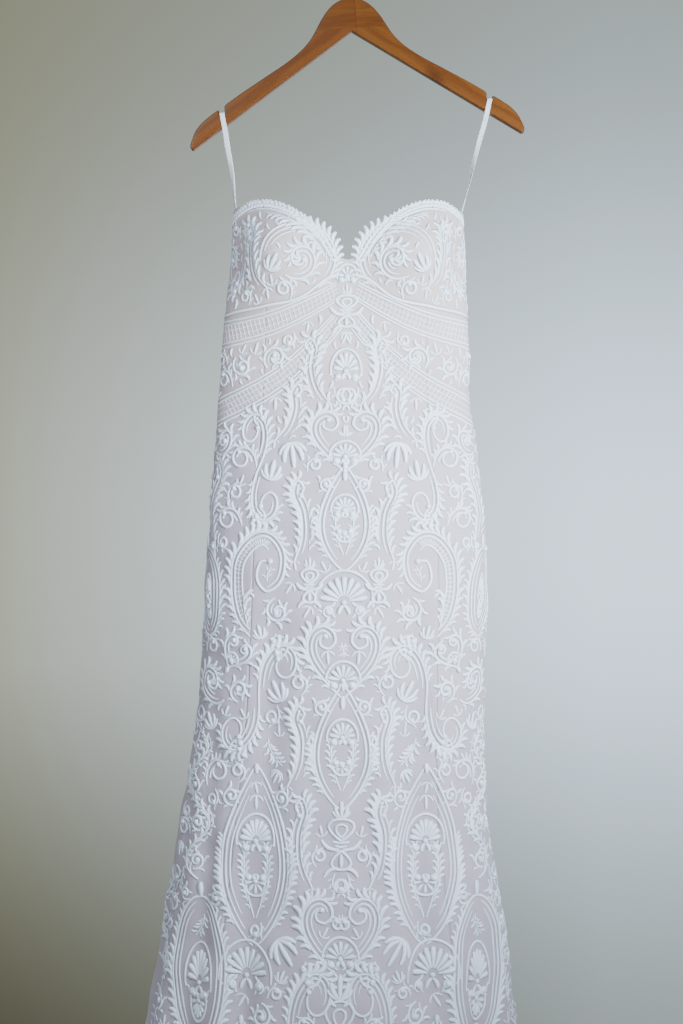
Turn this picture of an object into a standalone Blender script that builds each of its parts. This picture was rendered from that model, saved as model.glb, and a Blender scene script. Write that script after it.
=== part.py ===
"""Strapless lace gown hanging from a wooden hanger, metres, +Z up, front towards -Y.

The origin is the inside top of the hanger's hook, where a rail or a wall hook carries it.
"""

import math

import bmesh
import bpy
import numpy as np
from mathutils import Matrix, Vector, geometry

COLLECTION_NAME = "lace_gown"

# Cloth
WALL = 0.0020
SEAM_GAP = 0.0003
HEM_HEIGHT = -1.710

# Lace on the cloth
LACE_LIFT = 0.0012
LACE_THICKNESS = 0.0012
CORD_WIDTH = 0.0062
HEM_CLEAR = 0.003
ZIP_CLEAR = 0.003
ZIP_END = -0.800
OUTLINE_SLACK = 0.00055
SHORT_EDGE = 0.0022
LONG_EDGE = 0.022
SMALL_GAP = 0.000012
PAD_RADIUS = 0.0022
BEND_LIMIT = math.radians(9.0)
SLIDER_CLEAR = 0.007
SLIDER_LACE_END = -0.452

# Hanger
HANGER_TILT = math.radians(3.0)
WOOD_THICKNESS = 0.0130
WOOD_ROUNDING = 0.0030
WOOD_TOP = -0.055
INNER_APEX_DROP = 0.0426
NOTCH_OUT = 0.1773
NOTCH_WIDTH = 0.0072
NOTCH_FLOOR_DROP = 0.1430
HOOK_INNER_RADIUS = 0.0180
HOOK_WIRE_RADIUS = 0.0018
HOOK_STEM_DEPTH = 0.0160
HOOK_HOLE_RADIUS = 0.0021
HOOK_STEM_RISE = 0.0040
HOOK_NECK_RISE = 0.0110
HOOK_NECK_SWAY = 0.0060
HOOK_CROOK_START = -78.0
HOOK_CROOK_TURN = 266.0
HOOK_CROOK_STEPS = 14

# Ribbon loops
RIBBON_WIDTH = 0.0060
RIBBON_THICKNESS = 0.0008
RIBBON_TAIL = 0.0200
RIBBON_CLEAR = 0.0004
LOOP_ANGLE = 6.0
LOOP_TWIST_END = 0.0060
LOOP_SHOULDER_DROP = 0.0010
LOOP_SHOULDER_IN = 0.0012

# Zip at the centre back
SLIDER_WIDTH = 0.0070
SLIDER_LENGTH = 0.0110
SLIDER_THICKNESS = 0.0026
SLIDER_BELOW_EDGE = 0.0120
SLIDER_LIFT = 0.0005
EAR_WIDTH = 0.0011
EAR_HEIGHT = 0.0036
EAR_LENGTH = 0.0036
JOIN_DEPTH = 0.0004
PIN_RADIUS = 0.0007
PULL_WIDTH = 0.0050
PULL_LENGTH = 0.0240
PULL_THICKNESS = 0.0010
PULL_NECK = 0.0075
EYE_RADIUS = 0.0017
EYE_HOLE_RADIUS = 0.0010
EYE_WIDTH = 0.0030

# Rings of the gown: the centre line, the half widths and the depths before and behind it
RING_COLUMNS = ("height", "centre", "left", "right", "front", "back")
RINGS = (
    (-0.320, -0.001, 0.150, 0.152, 0.056, 0.078),
    (-0.360, -0.001, 0.152, 0.154, 0.062, 0.078),
    (-0.400, -0.001, 0.154, 0.156, 0.063, 0.074),
    (-0.453, -0.002, 0.159, 0.159, 0.060, 0.064),
    (-0.519, -0.003, 0.164, 0.163, 0.056, 0.052),
    (-0.585, -0.003, 0.168, 0.164, 0.059, 0.054),
    (-0.646, -0.004, 0.172, 0.173, 0.066, 0.066),
    (-0.753, -0.005, 0.179, 0.186, 0.079, 0.090),
    (-0.877, -0.006, 0.185, 0.189, 0.088, 0.102),
    (-0.950, -0.007, 0.188, 0.187, 0.088, 0.098),
    (-1.036, -0.008, 0.197, 0.188, 0.088, 0.096),
    (-1.142, -0.009, 0.213, 0.193, 0.096, 0.104),
    (-1.272, -0.010, 0.231, 0.216, 0.116, 0.128),
    (-1.413, -0.012, 0.255, 0.232, 0.142, 0.158),
    (-1.560, -0.014, 0.282, 0.253, 0.168, 0.190),
    (-1.720, -0.017, 0.312, 0.282, 0.194, 0.222),
)

# Soft folds: middle and half width in degrees, depth at the hem, heights where it starts and is full
FOLD_COLUMNS = ("name", "middle", "half_width", "depth", "start", "full", "lean")
FOLDS = (
    ("front_left", -27.0, 8.5, 0.012, -0.62, -1.20, -3.0),
    ("front_right", 26.0, 8.5, 0.014, -0.62, -1.20, 3.0),
    ("left_flare", -50.0, 9.0, 0.024, -0.98, -1.66, -3.0),
    ("right_flare", 53.0, 9.0, 0.020, -1.00, -1.66, 3.0),
    ("left_side", -77.0, 8.5, 0.017, -1.02, -1.66, -1.0),
    ("right_side", 80.0, 8.5, 0.015, -1.02, -1.66, 1.0),
    ("left_rear", -106.0, 9.0, 0.022, -0.96, -1.66, 0.0),
    ("right_rear", 108.0, 9.0, 0.020, -0.96, -1.66, 0.0),
    ("left_back", -136.0, 9.5, 0.026, -0.90, -1.66, 2.0),
    ("right_back", 137.0, 9.5, 0.028, -0.90, -1.66, -2.0),
    ("left_middle_back", -163.0, 8.0, 0.016, -0.92, -1.66, 1.0),
    ("right_middle_back", 164.0, 8.0, 0.014, -0.92, -1.66, -1.0),
)

# The raised rim beside a trough, as shares of its depth and half width
FOLD_RIM = 0.35
FOLD_RIM_SPREAD = 2.2

# Cups: the place, spread and height of each swelling
CUP_ANGLE = 34.0
CUP_HEIGHT = -0.402
CUP_SPREAD_DEGREES = 21.0
CUP_SPREAD_HEIGHT = 0.052
CUP_RISE = 0.036

# Upper edge from the centre front to the centre back, left and right as seen from the front
EDGE_COLUMNS = ("angle", "left", "right")
EDGE = (
    (0.0, -0.411, -0.411),
    (4.0, -0.407, -0.407),
    (9.7, -0.385, -0.383),
    (16.0, -0.366, -0.363),
    (24.0, -0.349, -0.347),
    (35.0, -0.338, -0.334),
    (50.0, -0.332, -0.329),
    (70.0, -0.334, -0.337),
    (90.0, -0.338, -0.348),
    (120.0, -0.352, -0.361),
    (150.0, -0.385, -0.391),
    (180.0, -0.412, -0.412),
)

# Seam under the cups
CUP_SEAM_COLUMNS = ("angle", "height")
CUP_SEAM = (
    (0.0, -0.430),
    (6.0, -0.431),
    (21.0, -0.458),
    (40.0, -0.468),
    (65.0, -0.473),
    (90.0, -0.477),
)

# Stretches between seams, from the centre front round to the centre back, and the facets in each
STRETCH_COLUMNS = ("first", "last", "facets")
STRETCHES = (
    (0.0, 6.0, 1),
    (6.0, 40.0, 5),
    (40.0, 90.0, 7),
    (90.0, 140.0, 8),
    (140.0, 180.0, 7),
)

# Cut pieces: first and last angle in degrees, rows of facets, and the upper and lower edge
PANEL_COLUMNS = ("name", "first", "last", "rows", "upper", "lower", "material")
PANELS = (
    ("gore", -6.0, 6.0, 2, "edge", "cup_seam", "lining"),
    ("cup_left", -90.0, -6.0, 6, "edge", "cup_seam", "lining"),
    ("cup_right", 6.0, 90.0, 6, "edge", "cup_seam", "lining"),
    ("front_panel", -40.0, 40.0, 20, "cup_seam", "hem", "lining"),
    ("side_front_left", -90.0, -40.0, 20, "cup_seam", "hem", "lining"),
    ("side_front_right", 40.0, 90.0, 20, "cup_seam", "hem", "lining"),
    ("side_back_left", -140.0, -90.0, 20, "edge", "hem", "lining"),
    ("side_back_right", 90.0, 140.0, 20, "edge", "hem", "lining"),
    ("centre_back_left", -180.0, -140.0, 20, "edge", "hem", "lining"),
    ("centre_back_right", 140.0, 180.0, 20, "edge", "hem", "lining"),
)

# Outline of one half of the hanger from the apex to the tip, out from the middle and down
ARM_COLUMNS = ("out", "drop")
ARM_TOP = (
    (0.0000, 0.0000),
    (0.0110, 0.0008),
    (0.0212, 0.0056),
    (0.0310, 0.0142),
    (0.0385, 0.0240),
    (0.0452, 0.0352),
    (0.0520, 0.0466),
    (0.0610, 0.0580),
    (0.0740, 0.0698),
    (0.0900, 0.0812),
    (0.1150, 0.0962),
    (0.1500, 0.1172),
)
ARM_TIP = (
    (0.1912, 0.1438),
    (0.2037, 0.1532),
    (0.2129, 0.1634),
    (0.2182, 0.1742),
    (0.2214, 0.1845),
    (0.2180, 0.1893),
)

MATERIALS = {
    "lining": ((0.55, 0.50, 0.52), 0.75, 0.0),
    "lace": ((0.78, 0.80, 0.83), 0.60, 0.0),
    "ribbon": ((0.82, 0.83, 0.86), 0.45, 0.0),
    "wood": ((0.42, 0.16, 0.05), 0.40, 0.0),
    "steel": ((0.62, 0.62, 0.64), 0.25, 1.0),
}


def clear_scene():
    for old in list(bpy.data.objects):
        bpy.data.objects.remove(old, do_unlink=True)


def make_collection():
    collection = bpy.data.collections.new(COLLECTION_NAME)
    bpy.context.scene.collection.children.link(collection)
    return collection


def make_materials():
    made = {}
    for name, (colour, roughness, metallic) in MATERIALS.items():
        material = bpy.data.materials.new(name)
        material.use_nodes = True
        shader = material.node_tree.nodes["Principled BSDF"]
        shader.inputs["Base Color"].default_value = (*colour, 1.0)
        shader.inputs["Roughness"].default_value = roughness
        shader.inputs["Metallic"].default_value = metallic
        made[name] = material
    return made


def column(table, columns, name):
    place = columns.index(name)
    return np.array([row[place] for row in table], dtype=float)


def smooth_through(xs, ys, x):
    """Read a smooth curve through a table's points, xs rising."""
    slopes = np.gradient(ys, xs)
    x = np.clip(x, xs[0], xs[-1])
    left = np.clip(np.searchsorted(xs, x, side="right") - 1, 0, len(xs) - 2)
    step = xs[left + 1] - xs[left]
    t = (x - xs[left]) / step
    rise = (1 + 2 * t) * (1 - t) ** 2 * ys[left] + t * (1 - t) ** 2 * step * slopes[left]
    return rise + t * t * (3 - 2 * t) * ys[left + 1] + t * t * (t - 1) * step * slopes[left + 1]


def ring_value(name, height):
    heights = column(RINGS, RING_COLUMNS, "height")[::-1]
    return smooth_through(heights, column(RINGS, RING_COLUMNS, name)[::-1], height)


def edge_height(angle):
    """Height of the gown's upper edge at an angle in degrees."""
    angles = column(EDGE, EDGE_COLUMNS, "angle")
    left = smooth_through(angles, column(EDGE, EDGE_COLUMNS, "left"), np.abs(angle))
    right = smooth_through(angles, column(EDGE, EDGE_COLUMNS, "right"), np.abs(angle))
    return np.where(angle < 0, left, right)


def cup_seam_height(angle):
    angles = column(CUP_SEAM, CUP_SEAM_COLUMNS, "angle")
    return smooth_through(angles, column(CUP_SEAM, CUP_SEAM_COLUMNS, "height"), np.abs(angle))


def hem_height(angle):
    return np.full_like(np.asarray(angle, dtype=float), HEM_HEIGHT)


LINES = {"edge": edge_height, "cup_seam": cup_seam_height, "hem": hem_height}


def ease(t):
    t = np.clip(t, 0.0, 1.0)
    return t * t * (3 - 2 * t)


def fold_push(angle, height):
    """How far the folds move the cloth outwards, negative in a trough."""
    push = np.zeros_like(angle)
    for _name, middle, half_width, depth, start, full, lean in FOLDS:
        grown = ease((height - start) / (full - start))
        away = (angle - middle - lean * grown + 180.0) % 360.0 - 180.0
        push -= depth * grown * np.exp(-((away / half_width) ** 2))
        push += FOLD_RIM * depth * grown * np.exp(-((away / (FOLD_RIM_SPREAD * half_width)) ** 2))
    return push


def cup_push(angle, height):
    """How far the moulded cups stand out."""
    push = np.zeros_like(angle)
    for middle in (-CUP_ANGLE, CUP_ANGLE):
        across = (angle - middle) / CUP_SPREAD_DEGREES
        up = (height - CUP_HEIGHT) / CUP_SPREAD_HEIGHT
        push += CUP_RISE * np.exp(-across ** 2 - up ** 2)
    return push


def gown_points(angle, height):
    """Points of the gown's outer face at angles in degrees from the centre front."""
    angle = np.asarray(angle, dtype=float)
    height = np.asarray(height, dtype=float)
    turn = np.radians(angle)
    sine = np.sin(turn)
    cosine = np.cos(turn)
    half = np.where(sine < 0, ring_value("left", height), ring_value("right", height))
    depth = np.where(cosine > 0, ring_value("front", height), ring_value("back", height))
    out_x = sine * depth
    out_y = -cosine * half
    length = np.sqrt(out_x ** 2 + out_y ** 2)
    push = fold_push(angle, height) + cup_push(angle, height)
    x = ring_value("centre", height) + half * sine + push * out_x / length
    y = -depth * cosine + push * out_y / length
    return np.stack([x, y, height], axis=-1)


def gown_normals(angle, height):
    step_angle = 0.25
    step_height = 0.002
    around = gown_points(angle + step_angle, height) - gown_points(angle - step_angle, height)
    up = gown_points(angle, height + step_height) - gown_points(angle, height - step_height)
    normal = np.cross(around, up)
    return normal / np.linalg.norm(normal, axis=-1, keepdims=True)


def column_angles(first, last):
    """The angles of the cloth's grid between two seams, the same on both sides of each seam."""
    right = np.concatenate([np.linspace(start, end, facets + 1) for start, end, facets in STRETCHES])
    both = np.unique(np.round(np.concatenate([-right, right]), 9))
    return both[(both >= first) & (both <= last)]


def panel_grid(panel):
    """Angles and heights of a cut piece's grid, from its upper edge down."""
    _name, first, last, rows, upper, lower, _material = panel
    down = np.linspace(0.0, 1.0, rows + 1)
    angle = np.tile(column_angles(first, last), (rows + 1, 1))
    top = LINES[upper](angle)
    bottom = LINES[lower](angle)
    return angle, top + (bottom - top) * down[:, None]


def trim_seams(angle, height):
    """Draw a piece's edges back by half a seam gap."""
    half = SEAM_GAP / 2
    one_degree = gown_points(angle + 0.5, height) - gown_points(angle - 0.5, height)
    per_degree = np.linalg.norm(one_degree, axis=-1)
    angle = angle.copy()
    height = height.copy()
    angle[:, 0] += half / per_degree[:, 0]
    angle[:, -1] -= half / per_degree[:, -1]
    height[0, :] -= half
    height[-1, :] += half
    return angle, height


def link_mesh(collection, material, name, bm):
    mesh = bpy.data.meshes.new(name)
    bm.to_mesh(mesh)
    bm.free()
    made = bpy.data.objects.new(name, mesh)
    mesh.materials.append(material)
    collection.objects.link(made)
    return made


def make_panel(collection, materials, panel):
    """A cloth wall: a grid laid on the gown's face, with an inner layer a wall's thickness in."""
    name, _first, _last, rows, _upper, _lower, material = panel
    angle, height = trim_seams(*panel_grid(panel))
    columns = angle.shape[1] - 1
    outer = gown_points(angle, height)
    inner = outer - WALL * gown_normals(angle, height)
    bm = bmesh.new()
    bmesh.ops.create_grid(bm, x_segments=columns, y_segments=rows, size=1.0)
    place = bm.verts.layers.int.new("place")
    bm.verts.ensure_lookup_table()
    for vertex in bm.verts:
        i = round((vertex.co.x + 1.0) / 2.0 * columns)
        j = round((1.0 - vertex.co.y) / 2.0 * rows)
        vertex[place] = j * (columns + 1) + i
    layer = bmesh.ops.extrude_face_region(bm, geom=bm.faces[:], use_keep_orig=True)
    moved = [part for part in layer["geom"] if isinstance(part, bmesh.types.BMVert)]
    flat_outer = outer.reshape(-1, 3)
    flat_inner = inner.reshape(-1, 3)
    for vertex in bm.verts:
        vertex.co = flat_outer[vertex[place]]
    for vertex in moved:
        vertex.co = flat_inner[vertex[place]]
    bmesh.ops.recalc_face_normals(bm, faces=bm.faces[:])
    made = link_mesh(collection, materials[material], name, bm)
    made.data.shade_smooth()
    made.data.set_sharp_from_angle(angle=math.radians(50))
    return made


def on_panels(angle, height):
    """Points on the walls' facets, or on the smooth gown past their edges, and outward normals."""
    place = gown_points(angle, height)
    for panel in PANELS:
        _name, first, last, rows, upper, lower, _material = panel
        stops = column_angles(first, last)
        top = LINES[upper](angle)
        bottom = LINES[lower](angle)
        inside = (angle >= first) & (angle <= last) & (height <= top) & (height >= bottom)
        if not inside.any():
            continue
        grid = gown_points(*panel_grid(panel))
        u = np.clip(np.interp(angle, stops, np.arange(len(stops))), 0, len(stops) - 1 - 1e-6)
        v = np.clip((height - top) / (bottom - top) * rows, 0, rows - 1e-6)
        i = u.astype(int)
        j = v.astype(int)
        across = (u - i)[:, None]
        down = (v - j)[:, None]
        upper_side = grid[j, i] * (1 - across) + grid[j, i + 1] * across
        lower_side = grid[j + 1, i] * (1 - across) + grid[j + 1, i + 1] * across
        facet = upper_side * (1 - down) + lower_side * down
        place = np.where(inside[:, None], facet, place)
    return place, gown_normals(angle, height)


def across_of(angle, height, from_back):
    """Distance round the gown from the centre front or back, to the left as a negative."""
    start = 180.0 if from_back else 0.0
    share = np.linspace(0.0, 1.0, 73)
    side = np.where(angle < 0, -1.0, 1.0)
    ring_angle = side[:, None] * (start + (np.abs(angle) - start)[:, None] * share)
    ring = gown_points(ring_angle, np.repeat(height[:, None], len(share), axis=1))
    return side * np.linalg.norm(np.diff(ring, axis=1), axis=2).sum(axis=1)


def turns_sharply(normal, axis):
    """Which neighbouring facets along an axis turn by more than the limit."""
    first = np.delete(normal, -1, axis=axis)
    second = np.delete(normal, 0, axis=axis)
    return np.einsum("ijk,ijk->ij", first, second) < math.cos(BEND_LIMIT)


def facet_lines(from_back):
    """The walls' own grid lines in the lace's plane, where its net has to bend with them."""
    lines = []
    for panel in PANELS:
        angle, height = panel_grid(panel)
        across = across_of(angle.ravel(), height.ravel(), from_back).reshape(angle.shape)
        grid = np.stack([across, height], axis=-1)
        halves = (angle[:-1, 1:] - angle[:-1, :-1]) / 2
        centre = angle[:-1, :-1] + halves
        before = angle[:-1, :1] - halves[:, :1]
        after = angle[:-1, -1:] + halves[:, -1:]
        beside = np.concatenate([before, centre, after], axis=1)
        middle = (height[:-1] + height[1:]) / 2
        middle = np.concatenate([middle[:, :1], middle], axis=1)
        for j, i in zip(*np.nonzero(turns_sharply(gown_normals(beside, middle), 1))):
            lines.append(grid[j:j + 2, i])
        level = (height[:-1, :-1] + height[1:, 1:]) / 2
        for j, i in zip(*np.nonzero(turns_sharply(gown_normals(centre, level), 0))):
            lines.append(grid[j + 1, i:i + 2])
    return lines


def flat_to_angle(across, height, from_back):
    """Angles whose distance round the gown from the centre front or back is as given."""
    steps = np.linspace(0.0, 180.0, 241)
    side = np.where(across < 0, -1.0, 1.0)
    ring_angle = steps[None, :] * side[:, None]
    ring = gown_points(ring_angle, np.repeat(height[:, None], len(steps), axis=1))
    length = np.linalg.norm(np.diff(ring, axis=1), axis=2)
    total = np.concatenate([np.zeros((len(height), 1)), np.cumsum(length, axis=1)], axis=1)
    angle = np.empty_like(across)
    for row in range(len(across)):
        distance = abs(across[row])
        if from_back:
            distance = total[row, -1] - distance
        angle[row] = np.interp(distance, total[row], steps) * side[row]
    return angle


# Lace motifs: each is a list of centre lines with widths, in the plane of the lace
SPIRAL_TURNS = 1.22
SPIRAL_CURL = 0.72


def arc_points(centre, radius, first, last, count):
    turns = np.linspace(math.radians(first), math.radians(last), count)
    return np.stack([centre[0] + radius * np.cos(turns), centre[1] + radius * np.sin(turns)], axis=1)


def spiral(width, length, points=11):
    """A scroll that starts at the bottom of its round and curls inwards."""
    t = np.linspace(0.0, 1.0, points)
    turn = -math.pi / 2 + 2 * math.pi * SPIRAL_TURNS * t
    reach = 1.0 - SPIRAL_CURL * t
    line = np.stack([width * reach * np.cos(turn), length * reach * np.sin(turn)], axis=1)
    return [(line, CORD_WIDTH)]


def ogee(width, length, points=7):
    """A pointed oval frame."""
    t = np.linspace(0.0, 1.0, points)
    out = width * np.sin(math.pi * t) ** 0.85
    up = length * (2 * t - 1)
    right = np.stack([out, up], axis=1)
    return [(right, CORD_WIDTH), (right * (-1.0, 1.0), CORD_WIDTH)]


def leaf(width, length):
    """A leaf that grows up from its place, as a short broad line that tapers at both ends."""
    t = np.linspace(0.0, 1.0, 4)
    bend = 0.25 * width * np.sin(math.pi * t)
    return [(np.stack([bend, length * t], axis=1), width * (0.25 + 0.75 * np.sin(math.pi * t)))]


def turned(strokes, degrees):
    turn = math.radians(degrees)
    matrix = np.array(((math.cos(turn), math.sin(turn)), (-math.sin(turn), math.cos(turn))))
    return [(line @ matrix, width) for line, width in strokes]


def moved(strokes, across, height):
    return [(line + (across, height), width) for line, width in strokes]


def palmette(width, length):
    """Five leaves fanned from one base."""
    strokes = []
    for angle in (-68.0, -34.0, 0.0, 34.0, 68.0):
        shrink = 1.0 - abs(angle) / 240.0
        strokes += turned(leaf(0.30 * width, length * shrink), -angle)
    return strokes


def s_scroll(width, length):
    """Two spirals that curl opposite ways on one stem."""
    upper = moved(spiral(width, 0.48 * length), 0.0, 0.52 * length)
    lower = moved(turned(spiral(width, 0.48 * length), 180.0), 0.0, -0.52 * length)
    return upper + lower


def paisley(width, length):
    """A drop with a leaning tip and a leaf inside it."""
    t = np.linspace(0.0, 1.0, 12)
    turn = -math.pi * 0.5 + 2 * math.pi * t
    drop = width * np.cos(turn) * (1.0 - 0.30 * np.sin(turn))
    lean = 0.35 * width * np.maximum(np.sin(turn), 0.0) ** 2
    outer = np.stack([drop + lean, length * np.sin(turn)], axis=1)
    inner = moved(leaf(0.42 * width, 1.45 * length), 0.0, -0.95 * length)
    return [(outer, CORD_WIDTH)] + inner


MOTIFS = {
    "spiral": spiral,
    "ogee": ogee,
    "leaf": leaf,
    "palmette": palmette,
    "s_scroll": s_scroll,
    "paisley": paisley,
}

# Lace layout, one half of each, measured from the centre front or the centre back
MOTIF_COLUMNS = ("motif", "across", "height", "width", "length", "turn", "flip")
CUP_LACE = (
    ("spiral", 0.082, -0.404, 0.046, 0.048, 20.0, False),
    ("spiral", 0.150, -0.409, 0.030, 0.044, 10.0, True),
)
BODICE_LACE = (
    ("palmette", 0.000, -0.535, 0.032, 0.040, 0.0, False),
    ("spiral", 0.100, -0.525, 0.024, 0.026, -60.0, False),
)
MIDDLE_LACE = (
    ("spiral", 0.029, -0.625, 0.028, 0.038, 10.0, False),
    ("ogee", 0.000, -0.735, 0.030, 0.072, 0.0, False),
    ("s_scroll", 0.105, -0.680, 0.030, 0.064, -12.0, False),
    ("paisley", 0.110, -0.836, 0.046, 0.072, -20.0, False),
    ("palmette", 0.000, -0.868, 0.044, 0.052, 0.0, False),
)
SKIRT_LACE = (
    ("ogee", 0.000, -1.010, 0.036, 0.086, 0.0, False),
    ("s_scroll", 0.110, -0.990, 0.036, 0.080, 10.0, True),
    ("ogee", 0.112, -1.180, 0.054, 0.108, 0.0, False),
    ("palmette", 0.000, -1.240, 0.048, 0.064, 0.0, False),
    ("s_scroll", 0.070, -1.390, 0.044, 0.100, 8.0, True),
    ("ogee", 0.192, -1.370, 0.054, 0.114, 0.0, False),
    ("spiral", 0.120, -1.560, 0.054, 0.062, 180.0, True),
    ("ogee", 0.000, -1.570, 0.044, 0.094, 0.0, False),
)
BACK_BODICE_LACE = (
    ("spiral", 0.100, -0.525, 0.024, 0.026, -60.0, False),
    ("spiral", 0.040, -0.655, 0.030, 0.040, 10.0, False),
    ("ogee", 0.110, -0.710, 0.040, 0.084, 0.0, False),
)
BACK_SKIRT_LACE = (
    ("ogee", 0.000, -0.900, 0.044, 0.090, 0.0, False),
    ("s_scroll", 0.096, -0.960, 0.044, 0.100, 10.0, True),
    ("ogee", 0.000, -1.130, 0.056, 0.130, 0.0, False),
    ("s_scroll", 0.110, -1.270, 0.052, 0.120, 8.0, True),
    ("ogee", 0.000, -1.440, 0.060, 0.150, 0.0, False),
)

# Trellis bands that sweep from the middle to the side: ends, sag, width between the rails, rungs
BAND_COLUMNS = ("start_across", "start_height", "end_across", "end_height", "sag", "width", "rungs")
BANDS = (
    (0.010, -0.452, 0.166, -0.506, 0.012, 0.020, 7),
    (0.006, -0.482, 0.164, -0.596, 0.018, 0.020, 8),
)
RAIL_WIDTH = 0.0036
RUNG_WIDTH = 0.0030
BAR_WIDTH = 0.0040
BORDER_DROP = 0.006


def trellis(start, end, sag, width, rungs):
    """Two rails and the bars between them."""
    t = np.linspace(0.0, 1.0, rungs + 1)[:, None]
    start = np.array(start)
    end = np.array(end)
    along = (end - start) / np.linalg.norm(end - start)
    across = np.array((-along[1], along[0]))
    middle = start + (end - start) * t - across * sag * np.sin(math.pi * t)
    upper = middle + across * width / 2
    lower = middle - across * width / 2
    strokes = [(upper, RAIL_WIDTH), (lower, RAIL_WIDTH)]
    for rung in range(rungs + 1):
        strokes.append((np.array((upper[rung], lower[rung])), RUNG_WIDTH))
    return strokes


def both_sides(strokes):
    return strokes + [(line * (-1.0, 1.0), width) for line, width in strokes]


def motif_strokes(table):
    strokes = []
    for motif, across, height, width, length, turn, flip in table:
        shape = turned(MOTIFS[motif](width, length), -turn)
        if flip:
            shape = [(line * (-1.0, 1.0), line_width) for line, line_width in shape]
        strokes += moved(shape, across, height)
    return strokes


def band_strokes():
    strokes = []
    for start_across, start_height, end_across, end_height, sag, width, rungs in BANDS:
        ends = ((start_across, start_height), (end_across, end_height))
        strokes += trellis(*ends, sag, width, rungs)
    return strokes


def border_stroke(line, first, last, drop, from_back=False, points=13):
    """A cord that follows one of the gown's edges, in the lace's plane."""
    angle = np.linspace(first, last, points)
    height = LINES[line](angle) - drop
    return [(np.stack([across_of(angle, height, from_back), height], axis=1), CORD_WIDTH)]


def stroke_faces(line, width):
    """A stroke as one four-sided face for each of its steps, all turning left."""
    forward = np.gradient(line, axis=0)
    forward /= np.linalg.norm(forward, axis=1, keepdims=True)
    side = np.stack([-forward[:, 1], forward[:, 0]], axis=1)
    half = np.broadcast_to(np.asarray(width) / 2, (len(line),))[:, None]
    left = line + side * half
    right = line - side * half
    faces = []
    for step in range(len(line) - 1):
        face = np.array((right[step], right[step + 1], left[step + 1], left[step]))
        faces.append(face if signed_area(face) > 0 else face[::-1])
    return faces


def right_of(strokes, limit):
    """The stretches of the strokes that lie to the right of a limit."""
    kept = []
    for line, width in strokes:
        width = np.broadcast_to(np.asarray(width), (len(line),))
        inside = line[:, 0] > limit
        before = np.concatenate([[False], inside[:-1]])
        for start in np.nonzero(inside & ~before)[0]:
            end = start
            while end + 1 < len(line) and inside[end + 1]:
                end += 1
            if end > start:
                kept.append((line[start:end + 1], width[start:end + 1]))
    return kept


def link_strokes(strokes):
    """Bars between the strokes that nothing yet joins, each to its nearest neighbour."""
    groups = list(range(len(strokes)))
    links = []
    lines = [line for line, _width in strokes]
    reach = [np.broadcast_to(np.asarray(width) / 2, (len(line),)) for line, width in strokes]
    pairs = []
    for one in range(len(lines)):
        for other in range(one + 1, len(lines)):
            away = np.linalg.norm(lines[one][:, None] - lines[other][None, :], axis=2)
            place = np.unravel_index(np.argmin(away), away.shape)
            touch = reach[one][place[0]] + reach[other][place[1]]
            pairs.append((away[place] - 0.6 * touch, one, other, place))
    pairs.sort(key=lambda pair: pair[0])
    for gap, one, other, place in pairs:
        if groups[one] == groups[other]:
            continue
        joined = groups[other]
        groups = [groups[one] if group == joined else group for group in groups]
        if gap > 0.0:
            ends = np.array((lines[one][place[0]], lines[other][place[1]]))
            links.append((ends, BAR_WIDTH))
    return strokes + links


def pinched(triangles):
    """Corners where two parts of the flat net touch at a point only."""
    fans = {}
    for triangle in triangles:
        for corner in range(3):
            vertex = triangle[corner]
            fans.setdefault(vertex, []).append((triangle[(corner + 1) % 3], triangle[(corner + 2) % 3]))
    found = []
    for vertex, spokes in fans.items():
        ends = {}
        for first, second in spokes:
            ends[first] = ends.get(first, 0) + 1
            ends[second] = ends.get(second, 0) + 1
        if sum(1 for count in ends.values() if count == 1) > 2:
            found.append(vertex)
    return found


def flat_net(shapes, holes, lines=()):
    """Join flat shapes into one net of triangles, with the holes left out and cut along lines."""
    shapes = list(shapes)
    for _attempt in range(6):
        points = []
        faces = []
        edges = []
        for outline in holes + shapes:
            faces.append(list(range(len(points), len(points) + len(outline))))
            points += [Vector(point) for point in outline]
        for line in lines:
            edges += [(len(points) + step, len(points) + step + 1) for step in range(len(line) - 1)]
            points += [Vector(point) for point in line]
        flat, _edges, triangles, _verts, _kept_edges, sources = geometry.delaunay_2d_cdt(
            points, edges, faces, 1, 1e-6)
        kept = []
        for triangle, source in zip(triangles, sources):
            if source and min(source) >= len(holes):
                kept.append(tuple(triangle))
        pads = [np.array(flat[vertex]) for vertex in pinched(kept)]
        if not pads:
            break
        shapes += [arc_points(pad, PAD_RADIUS, 0.0, 300.0, 6) for pad in pads]
    return np.array([tuple(point) for point in flat]), kept


def largest_piece(triangles):
    """Keep the largest group of triangles that share edges."""
    by_edge = {}
    for number, triangle in enumerate(triangles):
        for corner in range(3):
            edge = frozenset((triangle[corner], triangle[(corner + 1) % 3]))
            by_edge.setdefault(edge, []).append(number)
    neighbours = [[] for _ in triangles]
    for pair in by_edge.values():
        if len(pair) == 2:
            neighbours[pair[0]].append(pair[1])
            neighbours[pair[1]].append(pair[0])
    best = []
    seen = set()
    for start in range(len(triangles)):
        if start in seen:
            continue
        group = [start]
        seen.add(start)
        for number in group:
            for neighbour in neighbours[number]:
                if neighbour not in seen:
                    seen.add(neighbour)
                    group.append(neighbour)
        if len(group) > len(best):
            best = group
    return [triangles[number] for number in best]


def outline_loops(triangles):
    """The closed outlines of a flat net, outer one and gaps alike."""
    after = {}
    for triangle in triangles:
        for corner in range(3):
            after[(triangle[corner], triangle[(corner + 1) % 3])] = True
    following = {first: second for first, second in after if (second, first) not in after}
    loops = []
    while following:
        start, vertex = following.popitem()
        loop = [start]
        while vertex != start:
            loop.append(vertex)
            vertex = following.pop(vertex)
        loops.append(loop)
    return loops


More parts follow.
